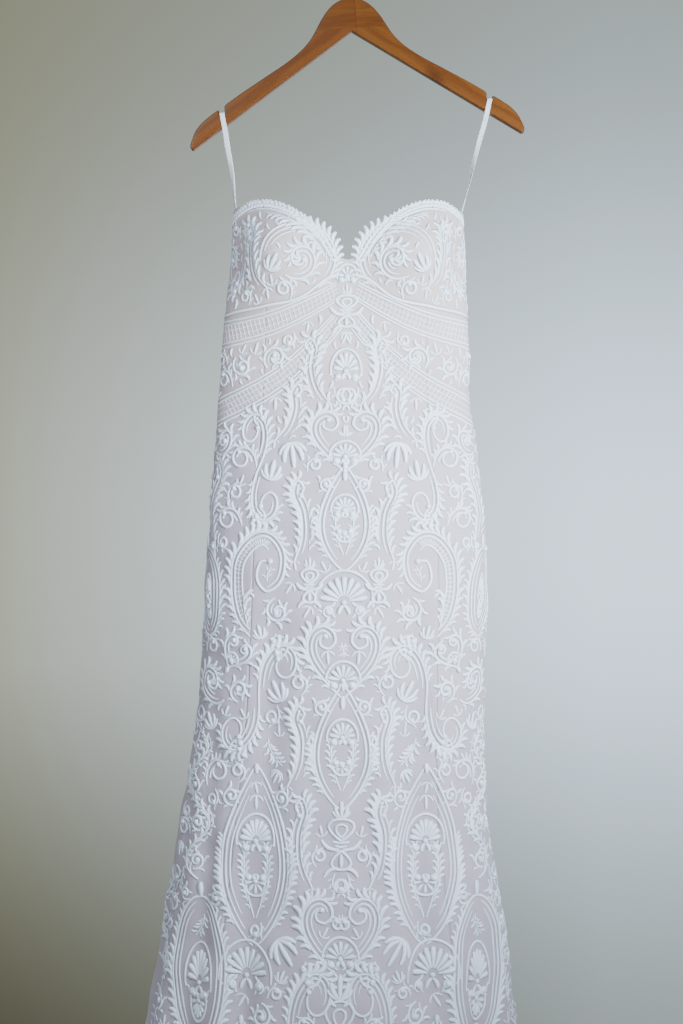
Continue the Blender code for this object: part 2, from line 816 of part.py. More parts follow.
def thinned(loop, slack):
    """An outline without the points that lie within a slack of the line through their neighbours."""
    points = list(loop)
    changed = True
    while changed and len(points) > 4:
        changed = False
        number = 0
        while number < len(points) and len(points) > 4:
            before = points[number - 1]
            here = points[number]
            after = points[(number + 1) % len(points)]
            span = after - before
            length = np.hypot(*span)
            off = abs(span[0] * (here - before)[1] - span[1] * (here - before)[0]) / max(length, 1e-9)
            short = np.hypot(*(here - before)) < SHORT_EDGE and off < 2 * slack
            if (off < slack and length < LONG_EDGE) or short:
                points.pop(number)
                changed = True
            number += 1
    return np.array(points)


def signed_area(points):
    x, y = points[:, 0], points[:, 1]
    return 0.5 * float(np.sum(x * np.roll(y, -1) - np.roll(x, -1) * y))


def refill(flat, triangles, lines):
    """Fill a net's thinned outlines again with as few triangles as they and the lines need."""
    loops = [thinned(flat[loop], OUTLINE_SLACK) for loop in outline_loops(triangles)]
    gaps = [loop[::-1] for loop in loops if signed_area(loop) < -SMALL_GAP]
    outer = [loop for loop in loops if signed_area(loop) > 0]
    return flat_net(outer, gaps, lines)


def make_lace(collection, material, name, strokes, from_back, holes):
    """One net of cords, cut through between them, laid on the cloth just clear of it."""
    shapes = [face for line, width in link_strokes(strokes) for face in stroke_faces(line, width)]
    flat, triangles = flat_net(shapes, holes)
    flat, triangles = refill(flat, largest_piece(triangles), facet_lines(from_back))
    triangles = largest_piece(triangles)
    used = sorted({vertex for triangle in triangles for vertex in triangle})
    renumber = {vertex: place for place, vertex in enumerate(used)}
    across = flat[used, 0]
    height = flat[used, 1]
    angle = flat_to_angle(across, height, from_back)
    place, normal = on_panels(angle, height)
    inner = place + normal * LACE_LIFT
    outer = inner + normal * LACE_THICKNESS
    bm = bmesh.new()
    place = bm.verts.layers.int.new("place")
    corners = []
    for number, point in enumerate(inner):
        vertex = bm.verts.new(point)
        vertex[place] = number
        corners.append(vertex)
    for triangle in triangles:
        bm.faces.new([corners[renumber[vertex]] for vertex in triangle])
    layer = bmesh.ops.extrude_face_region(bm, geom=bm.faces[:], use_keep_orig=True)
    for part in layer["geom"]:
        if isinstance(part, bmesh.types.BMVert):
            part.co = outer[part[place]]
    bmesh.ops.recalc_face_normals(bm, faces=bm.faces[:])
    return link_mesh(collection, material, name, bm)


def rectangle(left, right, low, high):
    return np.array(((left, low), (right, low), (right, high), (left, high)))


def make_all_lace(collection, materials):
    below_hem = rectangle(-1.0, 1.0, HEM_HEIGHT - 1.0, HEM_HEIGHT + HEM_CLEAR)
    zip_line = rectangle(-ZIP_CLEAR, ZIP_CLEAR, ZIP_END, 0.0)
    zip_head = rectangle(-SLIDER_CLEAR, SLIDER_CLEAR, SLIDER_LACE_END, 0.0)
    cups = motif_strokes(CUP_LACE) + border_stroke("edge", 4.0, 88.0, BORDER_DROP)
    cups += border_stroke("cup_seam", 3.0, 88.0, 0.0)
    bodice = motif_strokes(BODICE_LACE) + band_strokes()
    middle = motif_strokes(MIDDLE_LACE)
    skirt = motif_strokes(SKIRT_LACE)
    back_edge = border_stroke("edge", 178.0, 92.0, BORDER_DROP, from_back=True)
    back_half = back_edge + motif_strokes(BACK_BODICE_LACE) + band_strokes()
    back_half = right_of(back_half, ZIP_CLEAR)
    left_side = [(line * (-1.0, 1.0), width) for line, width in back_half]
    away_from_zip = [below_hem, zip_line, zip_head]
    nets = (
        ("lace_front_bodice", both_sides(cups + bodice), False, [below_hem]),
        ("lace_front_middle", both_sides(middle), False, [below_hem]),
        ("lace_front_skirt", both_sides(skirt), False, [below_hem]),
        ("lace_back_left", left_side, True, away_from_zip + [rectangle(0.0, 1.0, -2.0, 0.0)]),
        ("lace_back_right", back_half, True, away_from_zip + [rectangle(-1.0, 0.0, -2.0, 0.0)]),
        ("lace_back_skirt", both_sides(motif_strokes(BACK_SKIRT_LACE)), True, [below_hem]),
    )
    for name, strokes, from_back, holes in nets:
        make_lace(collection, materials["lace"], name, strokes, from_back, holes)


def hanger_matrix():
    return Matrix.Rotation(-HANGER_TILT, 4, "Y")


def arm_underside(out):
    return INNER_APEX_DROP + (ARM_TIP[-1][1] - INNER_APEX_DROP) / ARM_TIP[-1][0] * out


def hanger_outline():
    """The hanger's flat outline, right half first, with the notch that holds a loop."""
    notch_in = NOTCH_OUT - NOTCH_WIDTH / 2
    notch_out = NOTCH_OUT + NOTCH_WIDTH / 2
    last_out, last_drop = ARM_TOP[-1]
    next_out, next_drop = ARM_TIP[0]
    slope = (next_drop - last_drop) / (next_out - last_out)
    half = list(ARM_TOP)
    half.append((notch_in, last_drop + slope * (notch_in - last_out)))
    half.append((notch_in, NOTCH_FLOOR_DROP))
    half.append((notch_out, NOTCH_FLOOR_DROP))
    half.append((notch_out, last_drop + slope * (notch_out - last_out)))
    half += list(ARM_TIP)
    half.append((0.0, INNER_APEX_DROP))
    left = [(-out, drop) for out, drop in half[1:-1]]
    return half + left[::-1]


def curve_to_mesh(curve, name, matrix, collection, material):
    """A closed mesh from a curve, its caps welded on."""
    guide = bpy.data.objects.new(name + "_curve", curve)
    bpy.context.scene.collection.objects.link(guide)
    bpy.context.view_layer.update()
    evaluated = guide.evaluated_get(bpy.context.evaluated_depsgraph_get())
    mesh = bpy.data.meshes.new_from_object(evaluated)
    bpy.data.objects.remove(guide, do_unlink=True)
    bm = bmesh.new()
    bm.from_mesh(mesh)
    bpy.data.meshes.remove(mesh)
    bmesh.ops.remove_doubles(bm, verts=bm.verts[:], dist=0.00002)
    bmesh.ops.recalc_face_normals(bm, faces=bm.faces[:])
    bm.transform(matrix)
    made = link_mesh(collection, material, name, bm)
    made.data.shade_smooth()
    made.data.set_sharp_from_angle(angle=math.radians(35))
    return made


def make_hanger_wood(collection, materials):
    curve = bpy.data.curves.new("hanger_outline", "CURVE")
    curve.dimensions = "2D"
    curve.fill_mode = "BOTH"
    curve.extrude = WOOD_THICKNESS / 2 - WOOD_ROUNDING
    curve.bevel_depth = WOOD_ROUNDING
    curve.bevel_resolution = 1
    curve.offset = -WOOD_ROUNDING
    outline = hanger_outline()
    spline = curve.splines.new("POLY")
    spline.points.add(len(outline) - 1)
    for point, (out, drop) in zip(spline.points, outline):
        point.co = (out, WOOD_TOP - drop, 0.0, 1.0)
    spline.use_cyclic_u = True
    stand_up = Matrix.Rotation(math.radians(90.0), 4, "X")
    wood = curve_to_mesh(curve, "hanger_wood", stand_up, collection, materials["wood"])
    hole = bpy.data.meshes.new("hook_hole")
    bm = bmesh.new()
    bmesh.ops.create_cone(
        bm, cap_ends=True, segments=12, radius1=HOOK_HOLE_RADIUS, radius2=HOOK_HOLE_RADIUS,
        depth=2 * (HOOK_STEM_DEPTH + SEAM_GAP), matrix=Matrix.Translation((0.0, 0.0, WOOD_TOP)))
    bm.to_mesh(hole)
    bm.free()
    cutter = bpy.data.objects.new("hook_hole", hole)
    cutters = bpy.data.collections.new("cutters")
    bpy.context.scene.collection.children.link(cutters)
    cutters.objects.link(cutter)
    cutter.hide_render = True
    cutter.display_type = "WIRE"
    bore = wood.modifiers.new("hook_hole", "BOOLEAN")
    bore.object = cutter
    bore.operation = "DIFFERENCE"
    wood.matrix_world = hanger_matrix()
    cutter.matrix_world = hanger_matrix()
    return wood


def make_hook(collection, materials):
    """The hook's wire: a straight stem, then a round crook that opens to the left."""
    bend = HOOK_INNER_RADIUS + HOOK_WIRE_RADIUS
    centre = -HOOK_INNER_RADIUS
    neck = WOOD_TOP + HOOK_STEM_RISE
    path = [(0.0, WOOD_TOP - HOOK_STEM_DEPTH), (0.0, neck)]
    for t in (0.25, 0.5, 0.75):
        path.append((HOOK_NECK_SWAY * math.sin(math.pi * t) * t, neck + HOOK_NECK_RISE * t))
    for step in range(HOOK_CROOK_STEPS + 1):
        turn = math.radians(HOOK_CROOK_START + HOOK_CROOK_TURN * step / HOOK_CROOK_STEPS)
        path.append((bend * math.cos(turn), centre + bend * math.sin(turn)))
    curve = bpy.data.curves.new("hook_wire", "CURVE")
    curve.dimensions = "3D"
    curve.bevel_depth = HOOK_WIRE_RADIUS
    curve.bevel_resolution = 2
    curve.use_fill_caps = True
    spline = curve.splines.new("POLY")
    spline.points.add(len(path) - 1)
    for point, (x, z) in zip(spline.points, path):
        point.co = (x, 0.0, z, 1.0)
    return curve_to_mesh(curve, "hanger_hook", hanger_matrix(), collection, materials["steel"])


def loop_stations(side):
    """Middle line and width directions of a ribbon loop, from its front end to its back end."""
    angle = np.full(2, side * (90.0 - LOOP_ANGLE))
    edge = float(edge_height(angle)[0])
    heights = np.array([edge - RIBBON_TAIL, edge])
    inward = WALL + SEAM_GAP + RIBBON_THICKNESS / 2 + RIBBON_CLEAR
    normal = gown_normals(angle, heights)
    sewn, mouth = (Vector(place) for place in gown_points(angle, heights) - normal * inward)
    flat = Vector((0.0, 0.0, 1.0)).cross(Vector(normal[1])).normalized() * side
    turn = hanger_matrix()
    floor = turn @ Vector((side * NOTCH_OUT, 0.0, WOOD_TOP - NOTCH_FLOOR_DROP))
    under = turn @ Vector((side * NOTCH_OUT, 0.0, WOOD_TOP - arm_underside(NOTCH_OUT)))
    along = turn @ Vector((1.0, 0.0, 0.0))
    face = WOOD_THICKNESS / 2 + SEAM_GAP + RIBBON_THICKNESS / 2
    over = SEAM_GAP + RIBBON_THICKNESS / 2
    depth = Vector((0.0, 1.0, 0.0))
    rows = [(sewn, -flat), (mouth, -flat)]
    hang = under - Vector((0.0, 0.0, LOOP_TWIST_END)) - depth * face
    for step in range(1, 6):
        t = step / 6
        swing = ease(t) * math.pi / 2
        rows.append((mouth.lerp(hang, t), -flat * math.cos(swing) + along * math.sin(swing)))
    rows.append((hang, along))
    rows.append((floor - depth * face - Vector((0.0, 0.0, LOOP_SHOULDER_DROP)), along))
    rows.append((floor - depth * (face - LOOP_SHOULDER_IN) + Vector((0.0, 0.0, over)), along))
    back = [(Vector((place.x, -place.y, place.z)), Vector((wide.x, -wide.y, wide.z)))
            for place, wide in reversed(rows)]
    return rows + back


def make_loop(collection, materials, name, side):
    """A ribbon sewn inside the side seam, over the hanger's notch and back."""
    rows = loop_stations(side)
    bm = bmesh.new()
    rings = []
    for number, (place, wide) in enumerate(rows):
        before = rows[max(number - 1, 0)][0]
        after = rows[min(number + 1, len(rows) - 1)][0]
        forward = (after - before).normalized()
        wide = (wide - forward * wide.dot(forward)).normalized()
        thick = forward.cross(wide) * (RIBBON_THICKNESS / 2)
        wide = wide * (RIBBON_WIDTH / 2)
        corners = (wide + thick, thick - wide, -wide - thick, wide - thick)
        rings.append([bm.verts.new(place + corner) for corner in corners])
    for first, second in zip(rings, rings[1:]):
        for corner in range(4):
            after = (corner + 1) % 4
            bm.faces.new((first[corner], first[after], second[after], second[corner]))
    bm.faces.new(rings[0][::-1])
    bm.faces.new(rings[-1])
    bmesh.ops.recalc_face_normals(bm, faces=bm.faces[:])
    return link_mesh(collection, materials["ribbon"], name, bm)


def zip_frame():
    """Where the slider lies: on the centre back seam, its length down the cloth."""
    height = float(edge_height(np.array([180.0]))[0]) - SLIDER_BELOW_EDGE
    place = Vector(gown_points(np.array([180.0]), np.array([height]))[0])
    normal = Vector(gown_normals(np.array([180.0]), np.array([height]))[0])
    normal.x = 0.0
    normal.normalize()
    across = Vector((-1.0, 0.0, 0.0))
    up = normal.cross(across)
    matrix = Matrix((across, up, normal)).transposed().to_4x4()
    matrix.translation = place + normal * SLIDER_LIFT
    return matrix


def block(bm, size, place):
    matrix = Matrix.Translation(place) @ Matrix.Diagonal((*size, 1.0))
    return bmesh.ops.create_cube(bm, size=1.0, matrix=matrix)


def solid_object(name, fill, material, collection):
    bm = bmesh.new()
    fill(bm)
    return link_mesh(collection, material, name, bm)


def joined(name, shapes, material, collection):
    """One body from several closed shapes, by Boolean union."""
    base = shapes[0]
    for other in shapes[1:]:
        join = base.modifiers.new("join", "BOOLEAN")
        join.operation = "UNION"
        join.object = other
    bpy.context.view_layer.update()
    evaluated = base.evaluated_get(bpy.context.evaluated_depsgraph_get())
    mesh = bpy.data.meshes.new_from_object(evaluated)
    for shape in shapes:
        bpy.data.objects.remove(shape, do_unlink=True)
    mesh.name = name
    mesh.materials.clear()
    mesh.materials.append(material)
    made = bpy.data.objects.new(name, mesh)
    collection.objects.link(made)
    return made


def pin_place():
    """The pull's pivot in the slider's frame."""
    return Vector((0.0, 0.0, SLIDER_THICKNESS + EAR_HEIGHT - EYE_RADIUS))


def make_zip(collection, materials):
    matrix = zip_frame()
    metal = materials["steel"]
    ear_out = EYE_WIDTH / 2 + SEAM_GAP + EAR_WIDTH / 2
    pin = pin_place()
    across = Matrix.Rotation(math.radians(90.0), 4, "Y")

    def body(bm):
        block(bm, (SLIDER_WIDTH, SLIDER_LENGTH, SLIDER_THICKNESS), (0.0, 0.0, SLIDER_THICKNESS / 2))

    def ear(side):
        height = EAR_HEIGHT + JOIN_DEPTH
        middle = (side * ear_out, 0.0, SLIDER_THICKNESS + EAR_HEIGHT - height / 2)
        return lambda bm: block(bm, (EAR_WIDTH, EAR_LENGTH, height), middle)

    def rod(bm):
        bmesh.ops.create_cone(
            bm, cap_ends=True, segments=10, radius1=PIN_RADIUS, radius2=PIN_RADIUS,
            depth=2 * ear_out, matrix=Matrix.Translation(pin) @ across)

    shapes = [
        solid_object("slider_body", body, metal, collection),
        solid_object("slider_ear_left", ear(-1), metal, collection),
        solid_object("slider_ear_right", ear(1), metal, collection),
        solid_object("slider_pin", rod, metal, collection),
    ]
    slider = joined("zip_slider", shapes, metal, collection)
    slider.matrix_world = matrix

    def eye(bm):
        bmesh.ops.create_cone(
            bm, cap_ends=True, segments=16, radius1=EYE_RADIUS, radius2=EYE_RADIUS,
            depth=EYE_WIDTH, matrix=across)

    def tab(bm):
        reach = PULL_LENGTH - EYE_RADIUS
        start = EYE_HOLE_RADIUS + JOIN_DEPTH
        middle = (0.0, 0.0, -(start + reach) / 2)
        block(bm, (EYE_WIDTH, PULL_THICKNESS, reach - start), middle)

    def plate(bm):
        bottom = PULL_LENGTH - EYE_RADIUS
        middle = (0.0, 0.0, -(bottom + PULL_NECK) / 2)
        block(bm, (PULL_WIDTH, PULL_THICKNESS, bottom - PULL_NECK), middle)

    pull = joined("zip_pull", [
        solid_object("pull_eye", eye, metal, collection),
        solid_object("pull_tab", tab, metal, collection),
        solid_object("pull_plate", plate, metal, collection),
    ], metal, collection)
    hole = solid_object("pull_hole", lambda bm: bmesh.ops.create_cone(
        bm, cap_ends=True, segments=16, radius1=EYE_HOLE_RADIUS, radius2=EYE_HOLE_RADIUS,
        depth=2 * EYE_WIDTH, matrix=across), metal, bpy.data.collections["cutters"])
    hole.hide_render = True
    hole.display_type = "WIRE"
    bore = pull.modifiers.new("eye", "BOOLEAN")
    bore.object = hole
    bore.operation = "DIFFERENCE"
    pivot = Matrix.Translation(matrix @ pin)
    pull.matrix_world = pivot
    hole.matrix_world = pivot


def main():
    clear_scene()
    collection = make_collection()
    materials = make_materials()
    for panel in PANELS:
        make_panel(collection, materials, panel)
    make_all_lace(collection, materials)
    make_hanger_wood(collection, materials)
    make_hook(collection, materials)
    make_loop(collection, materials, "hanger_loop_left", -1.0)
    make_loop(collection, materials, "hanger_loop_right", 1.0)
    make_zip(collection, materials)


main()
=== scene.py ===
"""Looks of a strapless lace gown on a wooden hanger, laid out as an add-on and run as a script.

Metres, +Z up, front towards -Y, origin at the inside top of the hanger's hook.
"""

import math

import bmesh
import bpy
import numpy as np
from mathutils import Matrix, Vector


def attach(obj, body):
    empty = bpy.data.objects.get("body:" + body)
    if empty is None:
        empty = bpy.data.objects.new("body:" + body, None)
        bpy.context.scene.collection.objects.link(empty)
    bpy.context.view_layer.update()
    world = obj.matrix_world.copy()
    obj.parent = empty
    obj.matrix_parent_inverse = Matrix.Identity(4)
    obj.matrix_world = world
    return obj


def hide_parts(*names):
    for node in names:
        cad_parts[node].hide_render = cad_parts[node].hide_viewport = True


bl_info = {
    "name": "Lace gown looks",
    "version": (1, 0, 0),
    "blender": (4, 5, 0),
    "location": "View3D > Sidebar > Lace gown",
    "description": "Cloth, lace, hanger and stage of a strapless lace gown",
    "category": "Object",
}

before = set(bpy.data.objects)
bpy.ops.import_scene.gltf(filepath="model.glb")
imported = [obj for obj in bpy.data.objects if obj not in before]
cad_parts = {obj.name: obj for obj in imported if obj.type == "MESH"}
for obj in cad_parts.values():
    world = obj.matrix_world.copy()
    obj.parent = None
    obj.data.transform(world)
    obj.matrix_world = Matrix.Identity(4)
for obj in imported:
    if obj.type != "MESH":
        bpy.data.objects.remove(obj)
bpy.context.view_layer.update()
BODY = "gown"

# Heights that the pieces share
HEM_HEIGHT = -1.710
ZIP_END = -0.800
SLIDER_LACE_END = -0.452
BODICE_END = -0.600
MIDDLE_END = -0.915
FRONT_HEM_START = -1.330
BACK_HEM_START = -1.270
WOOD_TOP = -0.055

# How far the lace keeps from the side seams in degrees, from its ends, from the zip and from the slider
SIDE_MARGIN = 0.3
END_MARGIN = 0.004
ZIP_MARGIN = 0.0035
SLIDER_MARGIN = 0.008

# Rings of the gown: the centre line, the half widths and the depths before and behind it
RING_COLUMNS = ("height", "centre", "left", "right", "front", "back")
RINGS = (
    (-0.320, -0.001, 0.150, 0.152, 0.056, 0.078),
    (-0.360, -0.001, 0.152, 0.154, 0.062, 0.078),
    (-0.400, -0.001, 0.154, 0.156, 0.063, 0.074),
    (-0.453, -0.002, 0.159, 0.159, 0.060, 0.064),
    (-0.519, -0.003, 0.164, 0.163, 0.056, 0.052),
    (-0.585, -0.003, 0.168, 0.164, 0.059, 0.054),
    (-0.646, -0.004, 0.172, 0.173, 0.066, 0.066),
    (-0.753, -0.005, 0.179, 0.186, 0.079, 0.090),
    (-0.877, -0.006, 0.185, 0.189, 0.088, 0.102),
    (-0.950, -0.007, 0.188, 0.187, 0.088, 0.098),
    (-1.036, -0.008, 0.197, 0.188, 0.088, 0.096),
    (-1.142, -0.009, 0.213, 0.193, 0.096, 0.104),
    (-1.272, -0.010, 0.231, 0.216, 0.116, 0.128),
    (-1.413, -0.012, 0.255, 0.232, 0.142, 0.158),
    (-1.560, -0.014, 0.282, 0.253, 0.168, 0.190),
    (-1.720, -0.017, 0.312, 0.282, 0.194, 0.222),
)

# Soft folds: middle and half width in degrees, depth at the hem, heights where it starts and is full,
# lean in degrees
FOLDS = (
    ("front_left", -27.0, 8.5, 0.012, -0.62, -1.20, -3.0),
    ("front_right", 26.0, 8.5, 0.014, -0.62, -1.20, 3.0),
    ("left_flare", -50.0, 9.0, 0.024, -0.98, -1.66, -3.0),
    ("right_flare", 53.0, 9.0, 0.020, -1.00, -1.66, 3.0),
    ("left_side", -77.0, 8.5, 0.017, -1.02, -1.66, -1.0),
    ("right_side", 80.0, 8.5, 0.015, -1.02, -1.66, 1.0),
    ("left_rear", -106.0, 9.0, 0.022, -0.96, -1.66, 0.0),
    ("right_rear", 108.0, 9.0, 0.020, -0.96, -1.66, 0.0),
    ("left_back", -136.0, 9.5, 0.026, -0.90, -1.66, 2.0),
    ("right_back", 137.0, 9.5, 0.028, -0.90, -1.66, -2.0),
    ("left_middle_back", -163.0, 8.0, 0.016, -0.92, -1.66, 1.0),
    ("right_middle_back", 164.0, 8.0, 0.014, -0.92, -1.66, -1.0),
)
FOLD_RIM = 0.35
FOLD_RIM_SPREAD = 2.2

# Finer drape: waves round the gown, turns in each metre down, start, depth,
# heights where it starts and is full
DRAPE = (
    ("flutes", 23.0, 2.5, 0.4, 0.0011, -0.70, -1.30),
    ("slack", 7.0, 9.0, 1.7, 0.0008, -0.45, -0.60),
    ("hem_sway", 31.0, -1.5, 2.1, 0.0014, -1.20, -1.60),
    ("hip_drag", 3.0, 17.0, 0.9, 0.0006, -0.62, -0.75),
)

# Cups
CUP_ANGLE = 34.0
CUP_HEIGHT = -0.402
CUP_SPREAD_DEGREES = 21.0
CUP_SPREAD_HEIGHT = 0.052
CUP_RISE = 0.036

# Upper edge and the seam under the cups, by angle from the centre front
EDGE = (
    (0.0, -0.411, -0.411),
    (4.0, -0.407, -0.407),
    (9.7, -0.385, -0.383),
    (16.0, -0.366, -0.363),
    (24.0, -0.349, -0.347),
    (35.0, -0.338, -0.334),
    (50.0, -0.332, -0.329),
    (70.0, -0.334, -0.337),
    (90.0, -0.338, -0.348),
    (120.0, -0.352, -0.361),
    (150.0, -0.385, -0.391),
    (180.0, -0.412, -0.412),
)
CUP_SEAM = (
    (0.0, -0.430),
    (6.0, -0.431),
    (21.0, -0.458),
    (40.0, -0.468),
    (65.0, -0.473),
    (90.0, -0.477),
)
CUP_SEAM_LEVEL = -0.465

# Cut pieces: first and last angle, columns and rows, upper and lower edge
PANELS = (
    ("gore", -6.0, 6.0, 8, 10, "edge", "cup_seam"),
    ("cup_left", -90.0, -6.0, 46, 26, "edge", "cup_seam"),
    ("cup_right", 6.0, 90.0, 46, 26, "edge", "cup_seam"),
    ("front_panel", -40.0, 40.0, 64, 150, "cup_seam", "hem"),
    ("side_front_left", -90.0, -40.0, 40, 150, "cup_seam", "hem"),
    ("side_front_right", 40.0, 90.0, 40, 150, "cup_seam", "hem"),
    ("side_back_left", -140.0, -90.0, 40, 150, "edge", "hem"),
    ("side_back_right", 90.0, 140.0, 40, 150, "edge", "hem"),
    ("centre_back_left", -180.0, -140.0, 36, 150, "edge", "hem"),
    ("centre_back_right", 140.0, 180.0, 36, 150, "edge", "hem"),
)
SEAM_GAP = 0.0003
SEAM_TUCK = 0.0003
SEAM_REACH = 0.0025

# The lace's plane: distance round the gown and height
PLANE_TOP = -0.300
PLANE_FOOT = -1.730
PLANE_ROWS = 360
PLANE_STEPS = 181
PLANE_SHARES = 221


def width_setting(name, description, default, low, high):
    return bpy.props.FloatProperty(
        name=name, description=description, default=default, min=low, max=high,
        subtype="DISTANCE", unit="LENGTH")


def share_setting(name, description, default, low, high):
    return bpy.props.FloatProperty(
        name=name, description=description, default=default, min=low, max=high, subtype="FACTOR")


def colour_setting(name, description, default):
    return bpy.props.FloatVectorProperty(
        name=name, description=description, default=default, min=0.0, max=1.0, subtype="COLOR")


class GownSizes(bpy.types.PropertyGroup):
    """Sizes that change the look of the cloth and the lace."""

    wall: width_setting("Cloth thickness", "Thickness of the lined cloth", 0.0020, 0.0005, 0.004)
    cord: width_setting("Cord width", "Width of a main cord of the lace", 0.0042, 0.001, 0.006)
    leaf: width_setting("Leaf width", "Width of the widest stitched leaf", 0.0076, 0.001, 0.010)
    fine: width_setting("Fine cord width", "Width of a fine cord of the lace", 0.0027, 0.0005, 0.004)
    relief: share_setting("Cord relief", "Height of a cord as a share of its width", 0.28, 0.1, 1.0)
    drape: share_setting("Fine drape", "Depth of the finest drape, 1 as it hangs", 1.0, 0.0, 3.0)


class GownColours(bpy.types.PropertyGroup):
    """Colours of the finishes."""

    lining: colour_setting("Lining", "Satin below the waist", (0.375, 0.335, 0.400))
    bodice: colour_setting("Bodice lining", "Warmer satin behind the bodice's lace", (0.480, 0.400, 0.395))
    lace: colour_setting("Lace", "Corded embroidery", (0.74, 0.84, 1.0))
    wood: colour_setting("Wood", "Lighter grain of the hanger", (0.126, 0.043, 0.0060))
    grain: colour_setting("Dark grain", "Darker grain of the hanger", (0.055, 0.0140, 0.0026))
    ribbon: colour_setting("Ribbon", "Satin ribbon of the loops", (0.62, 0.66, 0.72))
    steel: colour_setting("Steel", "Plated hook and zip", (0.62, 0.62, 0.64))


class StageSettings(bpy.types.PropertyGroup):
    """Camera and light."""

    lens: bpy.props.FloatProperty(
        name="Lens", description="Focal length on a 36 mm long side", default=51.7,
        min=20.0, max=200.0, unit="CAMERA")
    key: bpy.props.FloatProperty(
        name="Key light", description="Power of the large light at the front right", default=18.5,
        min=0.0, max=500.0, unit="POWER")
    fill: bpy.props.FloatProperty(
        name="Fill light", description="Power of the light at the front left", default=12.0,
        min=0.0, max=500.0, unit="POWER")
    room: bpy.props.FloatProperty(
        name="Room light", description="Strength of the pale surroundings", default=1.0,
        min=0.0, max=5.0)


def column(table, place):
    return np.array([row[place] for row in table], dtype=float)


def smooth_through(xs, ys, x):
    """Read a smooth curve through a table's points, xs rising."""
    slopes = np.gradient(ys, xs)
    x = np.clip(x, xs[0], xs[-1])
    left = np.clip(np.searchsorted(xs, x, side="right") - 1, 0, len(xs) - 2)
    step = xs[left + 1] - xs[left]
    t = (x - xs[left]) / step
    rise = (1 + 2 * t) * (1 - t) ** 2 * ys[left] + t * (1 - t) ** 2 * step * slopes[left]
    return rise + t * t * (3 - 2 * t) * ys[left + 1] + t * t * (t - 1) * step * slopes[left + 1]


def ring_value(name, height):
    place = RING_COLUMNS.index(name)
    return smooth_through(column(RINGS, 0)[::-1], column(RINGS, place)[::-1], height)


def edge_height(angle):
    left = smooth_through(column(EDGE, 0), column(EDGE, 1), np.abs(angle))
    right = smooth_through(column(EDGE, 0), column(EDGE, 2), np.abs(angle))
    return np.where(angle < 0, left, right)


def cup_seam_height(angle):
    return smooth_through(column(CUP_SEAM, 0), column(CUP_SEAM, 1), np.abs(angle))


def hem_height(angle):
    return np.full_like(np.asarray(angle, dtype=float), HEM_HEIGHT)


LINES = {"edge": edge_height, "cup_seam": cup_seam_height, "hem": hem_height}


def ease(t):
    t = np.clip(t, 0.0, 1.0)
    return t * t * (3 - 2 * t)


def fold_push(angle, height):
    """How far the folds move the cloth outwards, negative in a trough."""
    push = np.zeros_like(angle)
    for _name, middle, half_width, depth, start, full, lean in FOLDS:
        grown = ease((height - start) / (full - start))
        away = (angle - middle - lean * grown + 180.0) % 360.0 - 180.0
        push -= depth * grown * np.exp(-((away / half_width) ** 2))
        push += FOLD_RIM * depth * grown * np.exp(-((away / (FOLD_RIM_SPREAD * half_width)) ** 2))
    return push


def cup_push(angle, height):
    """How far the moulded cups stand out."""
    push = np.zeros_like(angle)
    for middle in (-CUP_ANGLE, CUP_ANGLE):
        across = (angle - middle) / CUP_SPREAD_DEGREES
        up = (height - CUP_HEIGHT) / CUP_SPREAD_HEIGHT
        push += CUP_RISE * np.exp(-across ** 2 - up ** 2)
    return push


def drape_push(angle, height):
    """The finest drape of the cloth."""
    depth_share = bpy.context.scene.gown_sizes.drape
    push = np.zeros_like(angle)
    for _name, waves, turns, start_turn, depth, start, full in DRAPE:
        grown = ease((height - start) / (full - start))
        turn = np.radians(angle) * waves + 2 * math.pi * turns * height + start_turn
        push += depth_share * depth * grown * np.sin(turn)
    return push


def gown_points(angle, height, drape=True):
    """Points of the gown's outer face at angles in degrees from the centre front."""
    angle = np.asarray(angle, dtype=float)
    height = np.asarray(height, dtype=float)
    turn = np.radians(angle)
    sine = np.sin(turn)
    cosine = np.cos(turn)
    half = np.where(sine < 0, ring_value("left", height), ring_value("right", height))
    depth = np.where(cosine > 0, ring_value("front", height), ring_value("back", height))
    out_x = sine * depth
    out_y = -cosine * half
    length = np.sqrt(out_x ** 2 + out_y ** 2)
    push = fold_push(angle, height) + cup_push(angle, height)
    if drape:
        push = push + drape_push(angle, height)
    x = ring_value("centre", height) + half * sine + push * out_x / length
    y = -depth * cosine + push * out_y / length
    return np.stack([x, y, height], axis=-1)


def gown_normals(angle, height):
    step_angle = 0.25
    step_height = 0.002
    around = gown_points(angle + step_angle, height) - gown_points(angle - step_angle, height)
    up = gown_points(angle, height + step_height) - gown_points(angle, height - step_height)
    normal = np.cross(around, up)
    return normal / np.linalg.norm(normal, axis=-1, keepdims=True)


def steps_round(points):
    """The steps between the points of each row, and how far along its row each point is."""
    step = np.linalg.norm(np.diff(points, axis=1), axis=2)
    return step, np.concatenate([np.zeros((len(points), 1)), np.cumsum(step, axis=1)], axis=1)


def lace_plane(from_back):
    """For each side, the distance to the far middle at each height, and the angle at each share of it."""
    heights = np.linspace(PLANE_TOP, PLANE_FOOT, PLANE_ROWS)
    shares = np.linspace(0.0, 1.0, PLANE_SHARES)
    sides = []
    for side in (-1.0, 1.0):
        steps = np.linspace(0.0, 180.0, PLANE_STEPS)
        angle, height = np.meshgrid(steps * side, heights)
        length = steps_round(gown_points(angle, height, drape=False))[1]
        if from_back:
            length = (length[:, -1:] - length)[:, ::-1]
            steps = steps[::-1]
        total = length[:, -1]
        table = np.stack([np.interp(shares * total[row], length[row], steps) for row in range(len(heights))])
        sides.append((total, table))
    return sides


